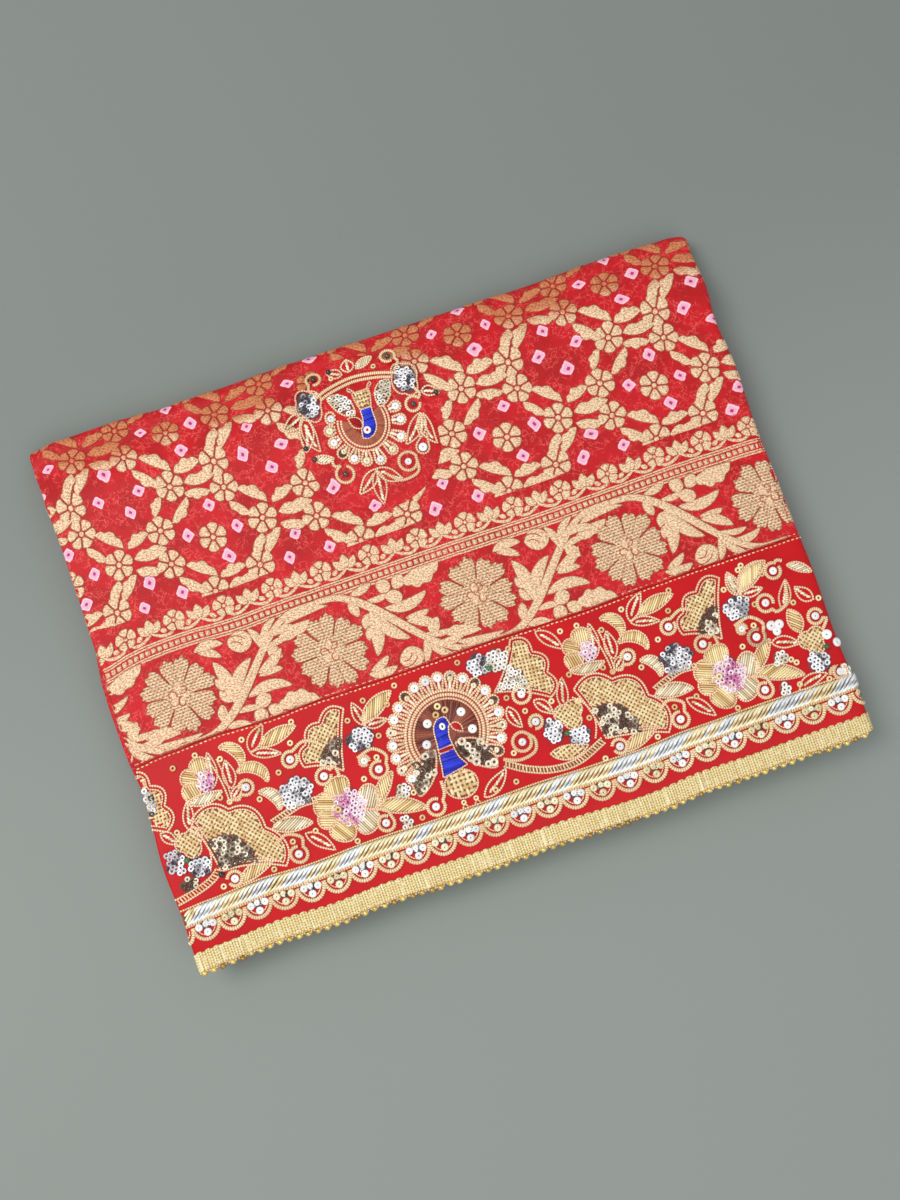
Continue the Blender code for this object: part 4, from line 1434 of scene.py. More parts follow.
# What is sewn on, by piece. Columns: shape, surface, colour, other colour, roughness, metallic, coat.
SEWN = {
    "straw_stitches": ("stitch", "thread", (252, 235, 182), (204, 164, 100), 0.4, 0.08, 0.0),
    "pale_stitches": ("stitch", "thread", (254, 248, 224), (204, 182, 132), 0.4, 0.08, 0.0),
    "blue_stitches": ("stitch", "thread", (60, 80, 246), (20, 26, 160), 0.35, 0.0, 0.0),
    "brown_stitches": ("stitch", "thread", (182, 98, 68), (78, 20, 16), 0.5, 0.0, 0.0),
    "red_stitches": ("stitch", "thread", (214, 26, 28), (150, 12, 20), 0.5, 0.0, 0.0),
    "basket_stitches": ("knot", "thread", (248, 228, 176), (212, 172, 112), 0.42, 0.05, 0.0),
    # Sequins take a share of two colours each: the lighter is painted highlight, the darker painted shade and
    # reflection, as if each mirrored bright and dark surroundings.
    "silver_sequins": ("sequin", "film", (252, 252, 255), (66, 62, 74), 0.22, 0.15, 0.3),
    "dark_sequins": ("sequin", "mottled", (242, 232, 206), (82, 60, 44), 0.25, 0.15, 0.3),
    "pink_sequins": ("sequin", "film", (254, 232, 246), (206, 112, 168), 0.22, 0.1, 0.3),
    "white_sequins": ("sequin", "film", (250, 248, 242), (206, 194, 168), 0.22, 0.2, 0.0),
    "white_cups": ("cup", "bead", (250, 249, 246), (226, 224, 222), 0.2, 0.0, 0.6),
    "straw_cups": ("cup", "bead", (244, 234, 200), (218, 196, 146), 0.22, 0.1, 0.5),
    "ring_beads": ("ring", "bead", (250, 228, 178), (220, 178, 124), 0.3, 0.15, 0.2),
    "green_beads": ("ball", "bead", (36, 118, 58), (14, 66, 30), 0.15, 0.0, 0.8),
    "dark_beads": ("ball", "bead", (70, 58, 50), (28, 24, 24), 0.12, 0.2, 0.8),
}
# Surfaces: grain in turns a metre, and the tints between which one colour gives way to the other.
SURFACES = {
    "thread": (1300.0, 0.1, 1.2),
    "film": (700.0, 0.3, 1.0),
    "mottled": (700.0, 0.3, 0.62),
    "bead": (420.0, 0.3, 1.0),
}


def sewn_finish(name, surface_kind, colour, other, roughness, metallic, coat):
    """Thread, sequin film or bead: each piece of it a little lighter or darker than the next, which on
    sequins is painted reflection and shade.
    """
    colour, other = linear(*colour), linear(*other)
    finish = Finish(name + "_look", colour, roughness, metallic)
    tint, place = finish.attribute("tint"), finish.object_place()
    scale, low, high = SURFACES[surface_kind]
    thread = surface_kind == "thread"
    marks = finish.noise(place, scale, 2.0)
    tone = finish.mix(tint.band(low, high), colour, other)
    finish.put(Base_Color=finish.mix(marks.band(0.52, 0.74) * (0.5 if thread else 0.25), tone, other))
    finish.put(Roughness=marks * 0.2 + (roughness - 0.1), Coat_Weight=coat, Coat_Roughness=0.1)
    height = finish.noise(place, 3200.0, 1.0) * 0.6 + marks * 0.4 if thread else marks
    finish.bump(height, 0.5 if thread else 0.12)
    return finish.material


# Padding under the work, dark so that the holes and gaps in the work over it show painted shade; the brown
# one is also padding of its own colour. Columns: colour, other colour.
PADS = {
    "brown_pads": ((140, 66, 46), (104, 34, 30)),
    "grey_pads": ((104, 66, 74), (58, 46, 52)),
}

class Work:
    """All that is sewn on, gathered by piece. Base is the height in mm of the cloth it is sewn to."""

    def __init__(self):
        self.base = 0.0
        self.cords, self.coils = Cords(), Cords()
        self.pads = {name: Figures(top=0.3, edge=0.1, inset=1.2, step=4.0) for name in PADS}
        self.sewn = {name: Scatter(row[0]) for name, row in SEWN.items()}

    def put(self, piece, u, v, lift=0.0, turn_deg=0.0, size=(1, 1, 1), tilt=(0, 0), tint=None):
        if SEWN_LEFT < u < SEWN_RIGHT:
            tint = RANDOM.random() if tint is None else tint
            self.sewn[piece].add(u, v, lift + self.base, turn_deg, size, tilt, tint)

    def cord(self, points, radius=0.62, lift=0.42):
        self.cords.add(points, radius, lift + self.base)

    def outline(self, outline, radius=0.62, lift=0.42):
        self.cord(np.concatenate([outline, outline[:2]]), radius, lift)

    def pad(self, outline, name="brown_pads"):
        outline = np.asarray(outline)
        if outline[:, 0].min() > -207 and outline[:, 0].max() < 215:
            self.pads[name].add(outline, 0.3, self.base)

    def fill(self, outline, angle_deg, piece="straw_stitches", pitch=1.3, height=0.95, lift=0.05):
        for u, v, length in hatch(outline, angle_deg, pitch):
            rise = height * min(1.4, 0.6 + 0.08 * length)
            self.put(piece, u, v, lift, angle_deg, (length + 0.3, pitch * 0.86, rise))

    def basket(self, outline, turn_deg=45.0, pitch=2.2, bare=None):
        """Bars laid over and under each other, with small square holes between them, over a padded shape."""
        outline = np.asarray(outline)
        self.pad(outline)
        turned = moved(outline, turn_deg=-turn_deg)
        low, high = turned.min(axis=0), turned.max(axis=0)
        columns, rows = (int((high[k] - low[k]) / pitch) + 2 for k in (0, 1))
        steps = [(i, j) for i in range(columns) for j in range(rows)]
        points = moved([(low[0] + i * pitch, low[1] + j * pitch) for i, j in steps], turn_deg=turn_deg)
        keep = inside(points, outline) & (away_from_edge(points, outline) > 0.5)
        if bare is not None:
            keep &= ~inside(points, bare)
        for (u, v), (i, j), kept in zip(points, steps, keep):
            if kept:
                turn = turn_deg + 90 * ((i + j) % 2) + RANDOM.uniform(-6, 6)
                size = (pitch * 1.5, pitch * RANDOM.uniform(0.58, 0.72), 0.6)
                self.put("basket_stitches", u, v, 0.42, turn, size)

    def spangles(self, outline, piece="silver_sequins", radius=1.85, pitch=2.75, lift=0.5):
        """Sequins set close in rows, each tipped its own way."""
        outline = np.asarray(outline)
        # The pad under the sequins shows as painted shade between them and through their holes.
        self.pad(outline, "grey_pads" if piece == "silver_sequins" else "brown_pads")
        low, high = outline.min(axis=0), outline.max(axis=0)
        for j in range(int((high[1] - low[1]) / (pitch * 0.86)) + 2):
            for i in range(int((high[0] - low[0]) / pitch) + 2):
                spot = low + [pitch * (i + 0.5 * (j % 2)), pitch * 0.86 * j] + RANDOM.uniform(-0.35, 0.35, 2)
                if inside([spot], outline)[0] and away_from_edge([spot], outline)[0] > 0.3 * radius:
                    size = radius * RANDOM.uniform(0.9, 1.1)
                    # Painted reflection: broad patches across the spray set how far each sequin darkens, as
                    # if it mirrored darker surroundings.
                    contrast = 0.12 if piece == "dark_sequins" else 0.34
                    reflection_patches = math.sin(0.36 * spot[0] + 1.2 * math.sin(0.31 * spot[1])) * contrast
                    shade = min(1.0, max(0.0, reflection_patches + RANDOM.uniform(0.1, 0.9)))
                    rise, turn = lift + RANDOM.uniform(0.1, 0.6), RANDOM.uniform(0, 360)
                    tilt = tuple(RANDOM.uniform(-14, 14, 2))
                    self.put(piece, *spot, rise, turn, (size, size, size), tilt, shade)

    def cup(self, u, v, radius=2.6, piece="white_cups"):
        turn, tilt = RANDOM.uniform(0, 360), tuple(RANDOM.uniform(-7, 7, 2))
        self.put(piece, u, v, 0.45, turn, (radius, radius, radius), tilt)

    def ring(self, u, v, radius=2.0):
        self.put("ring_beads", u, v, 0.5, RANDOM.uniform(0, 360), (radius, radius, radius))

    def satin_leaf(self, base, tip, width, bend=0.0, piece="straw_stitches", lean=38.0):
        """A leaf of slanting stitches with a cord round it."""
        outline = leaf_outline(base, tip, width, bend, blunt=0.4, step=1.1)
        way = math.degrees(math.atan2(tip[1] - base[1], tip[0] - base[0]))
        self.fill(inset(outline, 0.5), way + lean, piece)
        self.outline(outline)

    def open_leaf(self, base, tip, width, bend=0.0):
        """A leaf drawn in cord, with a row of small coils down its middle."""
        self.outline(leaf_outline(base, tip, width, bend, step=0.9))
        base, tip = np.asarray(base, float), np.asarray(tip, float)
        along = tip - base
        length = np.linalg.norm(along)
        side = left_of(along) / length
        angle = math.degrees(math.atan2(along[1], along[0]))
        for share in np.arange(0.24, 0.84, 2.0 / length):
            spot = base + along * share + side * 4 * bend * share * (1 - share)
            self.put("pale_stitches", *spot, 0.05, angle + 24, (2.7, 1.4, 1.0))

    def scroll(self, centre, radius, start_deg, sweep, tail=(), cup=2.5, thick=1.12):
        """A thick coil that runs in along its tail and curls round a cup sequin."""
        reach = max(radius - 0.7, 3.0)
        curl = arc(centre[0], centre[1], reach, start_deg, math.copysign(325, sweep), reach * 0.88, step=0.9)
        if len(tail):
            curl = np.concatenate([curve_through([*tail, curl[0]], 0.9)[:-1], curl])
        self.coils.add(curl, thick, 0.5 + self.base)
        if cup:
            self.cup(*centre, min(cup, reach - 0.6))

    def cluster(self, centre, reach, lobes=5, piece="silver_sequins", corded=False):
        """A lobed spray of sequins."""
        angle = np.linspace(0, 2 * math.pi, 60)[:-1]
        bumps = 0.82 + 0.20 * np.abs(np.sin(0.5 * lobes * (angle + 0.35)))
        outline = spaced(polar(centre, angle, reach[0] * bumps, reach[1] * bumps), 1.2, closed=True)
        self.spangles(outline, piece)
        if corded:
            self.outline(np.asarray(centre) + (outline - centre) * 1.2, 0.62)

    def fan(self, outline, bare, piece, radius, pitch, turn_deg):
        """A lobed fan: basket stitch in a double cord, with sequins towards its foot."""
        self.outline(outline, 0.68)
        within = inset(outline, 2.1)
        self.outline(within, 0.5)
        self.basket(within, turn_deg, bare=bare)
        self.spangles(bare, piece, radius, pitch, 0.6)

    def trefoil(self, centre, size, turn_deg=60.0):
        angle = np.linspace(0, 2 * math.pi, 60)[:-1]
        reach = size * (0.66 + 0.34 * np.abs(np.cos(1.5 * (angle - math.radians(turn_deg)))))
        outline = spaced(polar(centre, angle, reach, reach), 1.1, closed=True)
        self.basket(outline, turn_deg)
        self.outline(outline)

    def beaded_line(self, points, half_width=1.6):
        """Two cords with small rings between them."""
        middle = curve_through(points, 1.0)
        normal = line_normals(middle)
        self.pad(np.concatenate([middle + normal * half_width, (middle - normal * half_width)[::-1]]))
        self.cord(middle + normal * half_width)
        self.cord(middle - normal * half_width)
        for spot, out in zip(middle[1::2], normal[1::2]):
            turn = math.degrees(math.atan2(out[1], out[0])) + 14
            self.put("basket_stitches", *spot, 0.35, turn, (2.2 * half_width, 0.9, 0.7))

    def build(self):
        cord_look = metal_thread("work_cord", linear(255, 230, 192), linear(200, 130, 98), 1.5)
        coil_look = metal_thread("work_coil", linear(252, 228, 184), linear(196, 134, 94), 1.2)
        self.cords.build("work_cords", cord_look, "red_satin")
        self.coils.build("work_coils", coil_look, "red_satin", sides=8, flatness=0.85)
        for name, (colour, other) in PADS.items():
            look = sewn_finish(name, "thread", colour, other, 0.6, 0.0, 0.0)
            self.pads[name].build(name, look, "red_satin")
        for name, row in SEWN.items():
            self.sewn[name].build(name, sewn_finish(name, *row[1:]), "red_satin")


# Band work that comes twice, 237 mm apart. Columns: base u, v, tip u, v, width, bend, thread.
BAND_REPEAT = 237.0
SATIN_LEAVES = (
    (-137.0, 98.6, -113.0, 103.4, 8.6, 1.0, "straw_stitches"),
    (-143.0, 50.5, -119.5, 47.0, 8.6, 1.4, "pale_stitches"),
    (-171.5, 26.6, -149.5, 32.4, 7.6, 1.6, "straw_stitches"),
    (-187.0, 81.5, -165.0, 80.5, 6.4, -1.2, "pale_stitches"),
    (-75.5, 91.0, -53.5, 104.4, 9.4, 1.2, "straw_stitches"),
    (-80.0, 44.0, -66.5, 59.6, 7.6, 1.2, "straw_stitches"),
    (-83.0, 42.5, -54.5, 33.0, 9.6, 1.6, "straw_stitches"),
)
# Columns: base u, v, tip u, v, width, bend.
OPEN_LEAVES = (
    (-143.0, 97.0, -131.0, 110.6, 7.6, 0.8),
    (-143.0, 96.0, -126.0, 91.0, 5.6, 0.5),
    (-189.0, 66.5, -186.0, 83.0, 6.2, 0.4),
    (-75.0, 90.0, -77.8, 105.0, 6.4, 0.2),
    (-75.0, 90.0, -61.0, 89.5, 5.8, -0.5),
    (-126.0, 42.5, -113.5, 27.5, 7.0, 0.6),
    (-206.0, 71.0, -198.0, 61.0, 5.6, 0.5),
    (-170.0, 84.0, -166.8, 104.6, 6.8, -0.4),
    (-159.4, 80.0, -158.6, 96.8, 7.4, 0.0),
    (-161.0, 74.0, -153.0, 80.5, 5.0, 0.0),
)
# Columns: u, v, radius, start, way of turning, then the tail from its far end.
SCROLLS = (
    (-151.5, 78.0, 5.2, 215, 1, ((-160.4, 73.6), (-157.0, 72.4))),
    (-122.5, 86.0, 5.4, 60, 1, ((-104.0, 89.5), (-112.0, 93.2))),
    (-134.0, 32.5, 5.8, 40, -1, ((-144.0, 41.0), (-137.0, 45.4), (-129.0, 41.6))),
    (-173.4, 30.6, 5.2, 160, -1, ()),
    (-106.0, 69.6, 5.6, 30, 1, ((-97.0, 66.0), (-98.4, 72.6))),
    (-74.0, 63.0, 6.0, 20, -1, ((-84.5, 73.0), (-75.0, 75.6), (-68.0, 70.0))),
    (-80.5, 32.0, 5.6, 20, -1, ((-84.0, 41.4), (-77.6, 39.5))),
    (-81.0, 70.2, 3.6, 340, 1, ()),
)
# Ring beads strewn on the satin. Columns: u, v.
RING_SPOTS = (
    (-174.0, 105.5), (-188.5, 103.2), (-145.5, 105.3), (-161.0, 98.3), (-167.4, 77.2), (-196.5, 67.5),
    (-131.0, 81.0), (-145.4, 69.2), (-150.5, 28.0), (-181.0, 29.0), (-134.5, 40.4), (-120.0, 42.0),
    (-114.8, 106.3), (-119.5, 95.0), (-71.2, 104.0), (-83.6, 95.6), (-58.5, 97.5), (-69.0, 81.6),
    (-83.8, 60.3), (-59.0, 44.0), (-59.8, 28.6), (-99.8, 27.4), (-162.6, 73.0), (-73.5, 70.0),
)
# Sprays of sequins. Columns: u, v, reach in u, reach in v, lobes, piece.
CLUSTERS = (
    (-124.0, 66.5, 10.2, 9.6, 5, "silver_sequins"),
    (-202.0, 52.0, 6.4, 8.8, 4, "silver_sequins"),
    (-189.0, 44.4, 7.4, 6.4, 4, "silver_sequins"),
    (-80.0, 83.0, 8.8, 7.6, 5, "silver_sequins"),
    (-64.5, 46.6, 5.0, 4.6, 4, "white_sequins"),
    (-68.4, 28.6, 4.0, 4.8, 1, "white_sequins"),
    (-199.0, 37.4, 6.2, 4.2, 3, "dark_sequins"),
)
# Fans. Columns: apex u, apex v, first direction, spread, reach at the start, reach at the end.
FAN = (-179.0, 37.5, -15, 120, 37.0, 34.0)
SIDE_FAN = (-94.0, 68.5, 73, 82, 36.0, 24.0)
LONE_FAN = (3.5, 83.0, -22, 76, 34.0, 33.0)
# Petals with satin stitch. Columns: direction, from, to, width, direction of the stitches, thread.
PURPLE_PETALS = (
    (104, 6.0, 19.6, 16.6, 84, "straw_stitches"), (154, 6.0, 21.0, 15.0, 158, "straw_stitches"),
    (188, 6.0, 20.0, 12.0, 158, "straw_stitches"), (234, 6.0, 20.4, 17.0, 120, "straw_stitches"),
    (302, 6.0, 19.6, 17.0, 118, "pale_stitches"), (8, 6.0, 19.4, 16.6, 60, "pale_stitches"),
)
YELLOW_PETALS = (
    (96, 2.0, 14.6, 12.4, 84, "straw_stitches"), (150, 3.6, 15.0, 11.0, 150, "straw_stitches"),
    (196, 3.6, 15.4, 11.6, 100, "straw_stitches"),
)
# Sewn flowers: middle, petals and the reach of the pink sequins in them.
FLOWERS = (
    ((-97.0, 47.5), PURPLE_PETALS, (10.6, 11.6)),
    ((-173.0, 89.4), YELLOW_PETALS, (5.4, 7.4)),
)
# Crescents. Columns: centre u, v and radius of the middle line, start, sweep, width, thread.
CRESCENTS = (
    (-158.5, 95.5, 9.0, -32, 128, 7.0, "straw_stitches"),
    (-148.5, 79.0, 10.0, 122, -128, 7.0, "straw_stitches"),
    (-144.5, 63.5, 9.4, 92, -112, 6.6, "pale_stitches"),
)
# Stems in cord. Columns: from u, v, to u, v, bow to the left.
CORD_STEMS = (
    (-168.0, 101.0, -162.5, 72.0, 0.8),
    (-163.0, 99.0, -161.0, 73.0, 0.4),
    (-190.0, 66.5, -185.0, 39.5, 6.4),
    (-170.5, 38.6, -144.0, 30.4, 2.4),
)


def bowed(start, end, bow):
    """A line from start to end, bowed to its left."""
    start, end = np.asarray(start, float), np.asarray(end, float)
    along = end - start
    side = left_of(along) / np.linalg.norm(along)
    share = np.linspace(0.0, 1.0, 9)[:, None]
    return start + along * share + side * 4 * bow * share * (1 - share)


def fan_outline(apex, first_deg, spread_deg, reach, end_reach, lobes=3, bulge=0.12):
    """A sector with bowed sides whose rim stands out in lobes."""
    share = np.linspace(0.0, 1.0, 10 * lobes + 1)
    angle = np.radians(first_deg + spread_deg * share)
    far = (reach + (end_reach - reach) * share) * (1 + bulge * np.abs(np.sin(math.pi * lobes * share)))
    rim = polar(apex, angle, far, far)
    sides = [bowed(rim[-1], apex, 1.8), bowed(apex, rim[0], 1.8)]
    return spaced(np.concatenate([rim, sides[0][1:], sides[1][1:-1]]), 1.1, closed=True)


def put_fan(work, row, move, piece, small, big, stitch_deg):
    """A fan and its foot: the inner part of the same sector, filled with sequins."""
    apex = np.array(row[:2]) + move
    first, spread, reach, end_reach = row[2:]
    foot = fan_outline(apex, first + 4, spread - 8, 0.57 * reach, 0.57 * end_reach, 1, 0.06)
    work.fan(fan_outline(apex, first, spread, reach, end_reach), foot, piece, small, big, stitch_deg)


def oval(centre, reach_u, reach_v):
    """An oval outline."""
    angle = np.linspace(0.0, 2 * math.pi, 40, endpoint=False)
    return spaced(polar(centre, angle, reach_u, reach_v), 1.1, closed=True)


def band_unit(work, shift):
    """The band's work that repeats, moved along the cloth. The left end's own pieces come once."""
    move = np.array([shift, 0.0])
    start = -180.0 if shift else -250.0
    for row in SATIN_LEAVES:
        work.satin_leaf(move + row[:2], move + row[2:4], *row[4:])
    for row in OPEN_LEAVES:
        if row[2] > start:
            work.open_leaf(move + row[:2], move + row[2:4], *row[4:])
    for u, v, radius, start_deg, sweep, tail in SCROLLS:
        work.scroll(move + (u, v), radius, start_deg, sweep, [move + spot for spot in tail])
    for u, v in RING_SPOTS:
        if u > start:
            work.ring(u + shift, v)
    for u, v, reach_u, reach_v, lobes, piece in CLUSTERS:
        if u > start:
            work.cluster((u + shift, v), (reach_u, reach_v), lobes, piece)
    put_fan(work, FAN, move, "dark_sequins", 2.0, 3.1, 42)
    put_fan(work, SIDE_FAN, move, "dark_sequins", 2.3, 3.4, 45)
    for centre, petals, reach in FLOWERS:
        middle = move + centre
        for direction, inner, outer, width, stitch_deg, piece in petals:
            outline = round_petal(middle, direction, inner, outer, width, 1.1)
            work.fill(inset(outline, 0.4), stitch_deg, piece)
            work.outline(outline)
        work.cluster(middle, reach, 6, "pink_sequins")
    work.put("ring_beads", -103.4 + shift, 48.6, 2.2, 0, (2.2, 2.2, 2.2))
    for number, (u, v, radius, first_deg, sweep, width, piece) in enumerate(CRESCENTS):
        middle = arc(u + shift, v, radius, first_deg, sweep, step=2.0)
        outline = ribbon_outline(middle, (1.6, 0.8 * width, width, 0.8 * width, 1.6), 1.1)
        work.fill(inset(outline, 0.4), (160, 60, 20)[number], piece)
        work.outline(outline)
    work.beaded_line([move + spot for spot in ((-142, 54), (-133, 57), (-123, 59.5), (-113, 58.5))])
    for from_u, from_v, to_u, to_v, bow in CORD_STEMS:
        work.cord(spaced(bowed((from_u + shift, from_v), (to_u + shift, to_v), bow), 1.0))


ROUNDEL = np.array([-30.0, 70.0])


def ray(work, centre, deg, foot, reach, piece, radius=2.7, wide=2.3):
    """A loop of cord that stands out from a ring, with a bar in it and a cup sequin in its head."""
    out = heading(deg)
    side = left_of(out)
    head = centre + out * reach
    loop = arc(head[0], head[1], wide + 0.9, deg - 105, 210, step=0.9)
    legs = [centre + out * foot + side * wide * sign * 0.72 for sign in (-1, 1)]
    work.cord(spaced(np.concatenate([[legs[0]], loop, [legs[1]]]), 1.0), 0.8)
    bar = centre + out * (foot + reach - 2.4) / 2
    work.put("pale_stitches", *bar, 0.1, deg, (reach - foot - 1.6, 1.7, 1.2))
    if piece == "dark_sequins":
        work.put(piece, *(head + out * 0.8), 0.7, deg, (2.4, 2.4, 2.2), (6, -10))
        work.cup(*(head - out * 1.2), 1.9, "straw_cups")
    else:
        work.cup(*head, radius, piece)


# Wings of the bird. Columns: base u, v, tip u, v, width, bend.
WINGS = ((-39.5, 63.0, -56.0, 40.5, 13.6, -2.2), (-26.5, 63.0, -8.0, 41.5, 13.6, 2.2))


def peacock(work):
    """The bird in its ring of rays."""
    work.pad(arc(*ROUNDEL, 19.4, 0, 356, step=1.6))
    for number in range(90):
        deg = 360.0 * number / 90
        spot = ROUNDEL + 12.2 * heading(deg)
        work.put("brown_stitches", *spot, 0.1, deg, (13.8, 1.2, 0.9), tint=RANDOM.uniform(0.4, 1.1))
    for radius, thick in ((20.0, 0.75), (22.3, 1.2), (24.8, 1.0)):
        work.cord(arc(*ROUNDEL, radius, -35, 250, step=1.0), thick)
    for number in range(20):
        dark = number % 2 == 0 if number < 10 else number % 3 == 0
        ray(work, ROUNDEL, -37 + 13.2 * number, 25.6, 32.6, "dark_sequins" if dark else "white_cups")
    for u, v in ((-39.6, 79.0), (-18.6, 79.0), (-43.2, 67.6), (-14.8, 67.4)):
        work.put("white_cups", u, v, 1.0, 0, (2.8, 2.8, 2.8))
    for u, v in ((-31.0, 86.6), (-33.4, 82.2), (-27.4, 83.2)):
        work.put("ring_beads", u, v, 1.2, 0, (2.3, 2.3, 2.3))
    neck_line = [(-33.0, 62.8), (-33.2, 69.0), (-32.0, 75.0), (-27.6, 77.0)]
    neck = ribbon_outline(neck_line, (9.0, 8.0, 8.6, 9.6, 5.0), 1.0)
    body = ribbon_outline([(-33.0, 60.0), (-32.6, 54.0), (-31.6, 47.6)], (9.6, 11.6, 16.4), 1.0)
    beak = leaf_outline((-26.6, 74.2), (-20.6, 67.8), 4.4, 0.8, step=0.8)
    collar = ribbon_outline([(-37.6, 61.3), (-28.2, 61.3)], (2.4, 2.4), 1.0)
    work.fill(neck, 4, "blue_stitches", 0.75, 1.1, 0.6)
    work.fill(body, -2, "blue_stitches", 0.75, 1.0, 0.6)
    work.fill(beak, 25, "red_stitches", 0.7, 0.9, 0.6)
    work.fill(collar, 0, "red_stitches", 0.8, 1.0, 0.7)
    for outline in (neck, body, beak, collar):
        work.outline(outline, 0.5, 0.9)
    work.put("white_cups", -31.6, 74.6, 1.7, 0, (1.9, 2.3, 1.6))
    work.put("dark_beads", -31.6, 74.6, 2.1, 0, (0.6, 1.0, 0.5))
    body_net = oval((-31.2, 39.4), 9.8, 8.4)
    work.basket(body_net, 0.0, 2.9)
    work.outline(body_net)
    for u in (-34.0, -26.4):
        work.ring(u, 28.8, 1.8)
        work.cord([(u - 1.6, 25.8), (u - 0.7, 27.2), (u, 28.4), (u + 0.7, 27.2), (u + 1.6, 25.8)], 0.5)
    for row in WINGS:
        outline = leaf_outline(row[:2], row[2:4], row[4], row[5], blunt=0.7, step=1.1)
        work.spangles(outline, "dark_sequins", 2.6, 4.0, 0.7)
        work.outline(outline, 0.8)


# Work that comes once. Scrolls, rings and leaves from the roundel to the next repeat, then the right end.
SINGLE_SCROLLS = (
    (-50.0, 32.0, 6.0, 20, -1, ((-41.6, 45.0), (-42.4, 38.0))),
    (18.6, 77.2, 6.2, 30, -1, ((27.0, 82.4), (25.6, 80.6))),
    (11.0, 50.5, 6.6, 60, 1, ((-3.0, 44.5), (6.0, 41.0), (16.0, 43.0), (18.6, 50.0))),
    (22.2, 59.4, 4.8, 250, 1, ()),
    (185.6, 97.0, 5.6, 60, 1, ((192.6, 101.2), (190.0, 102.4))),
    (174.6, 80.4, 6.0, 300, -1, ((190.0, 89.0), (187.0, 77.0), (180.0, 73.4))),
    (163.0, 63.0, 6.0, 20, -1, ((152.6, 73.5), (162.0, 75.6), (169.0, 70.0))),
    (200.8, 63.6, 5.4, 330, -1, ((202.4, 54.6), (206.6, 59.6))),
    (202.8, 27.8, 4.8, 100, 1, ((196.6, 28.0), (198.0, 31.0))),
)
SINGLE_RINGS = (
    (9.5, 77.8), (18.0, 67.2), (34.6, 68.0), (50.0, 63.4), (53.0, 52.0), (4.0, 46.0), (-1.0, 29.8),
    (20.0, 105.0), (-50.8, 106.5), (-11.2, 106.8), (53.0, 26.6), (52.6, 105.4), (-14.0, 29.4),
    (168.4, 106.0), (190.6, 75.4), (206.0, 73.0), (180.4, 41.4), (195.0, 26.0), (49.0, 79.6),
)
SINGLE_OPEN_LEAVES = (
    (-21.5, 27.5, -3.6, 39.0, 7.4, -0.8),
    (8.8, 72.6, 13.8, 58.6, 6.6, -0.8),
    (24.6, 71.4, 33.6, 60.6, 6.4, 0.6),
    (40.6, 62.0, 44.4, 79.4, 6.6, 0.3),
    (38.6, 109.6, 50.6, 95.0, 7.4, 0.6),
    (160.0, 90.0, 158.6, 104.6, 6.4, 0.2),
    (170.6, 56.8, 186.6, 51.4, 7.0, 0.8),
    (183.0, 74.0, 190.6, 90.0, 7.0, -0.8),
    (176.0, 25.4, 195.4, 29.4, 6.8, 1.6),
    (203.0, 73.5, 194.4, 84.0, 7.4, 0.6),
)
SINGLE_CLUSTERS = (
    (0.0, 101.4, 7.6, 7.4, 5, "silver_sequins"),
    (11.4, 100.4, 7.4, 7.8, 5, "white_sequins"),
    (30.6, 51.0, 6.2, 8.0, 4, "silver_sequins"),
    (44.0, 43.6, 7.2, 6.2, 4, "silver_sequins"),
    (-208.0, 90.0, 4.6, 9.4, 4, "silver_sequins"),
    (193.6, 37.6, 7.6, 6.6, 4, "silver_sequins"),
    (206.0, 27.0, 4.0, 4.4, 3, "white_sequins"),
)


# Cup sequins at the right end. Columns: u, v, radius.
RIGHT_CUPS = (
    (173.6, 66.6, 3.2), (178.4, 66.0, 3.0), (175.8, 62.4, 2.8), (203.6, 51.0, 3.2), (207.4, 44.6, 3.0),
)

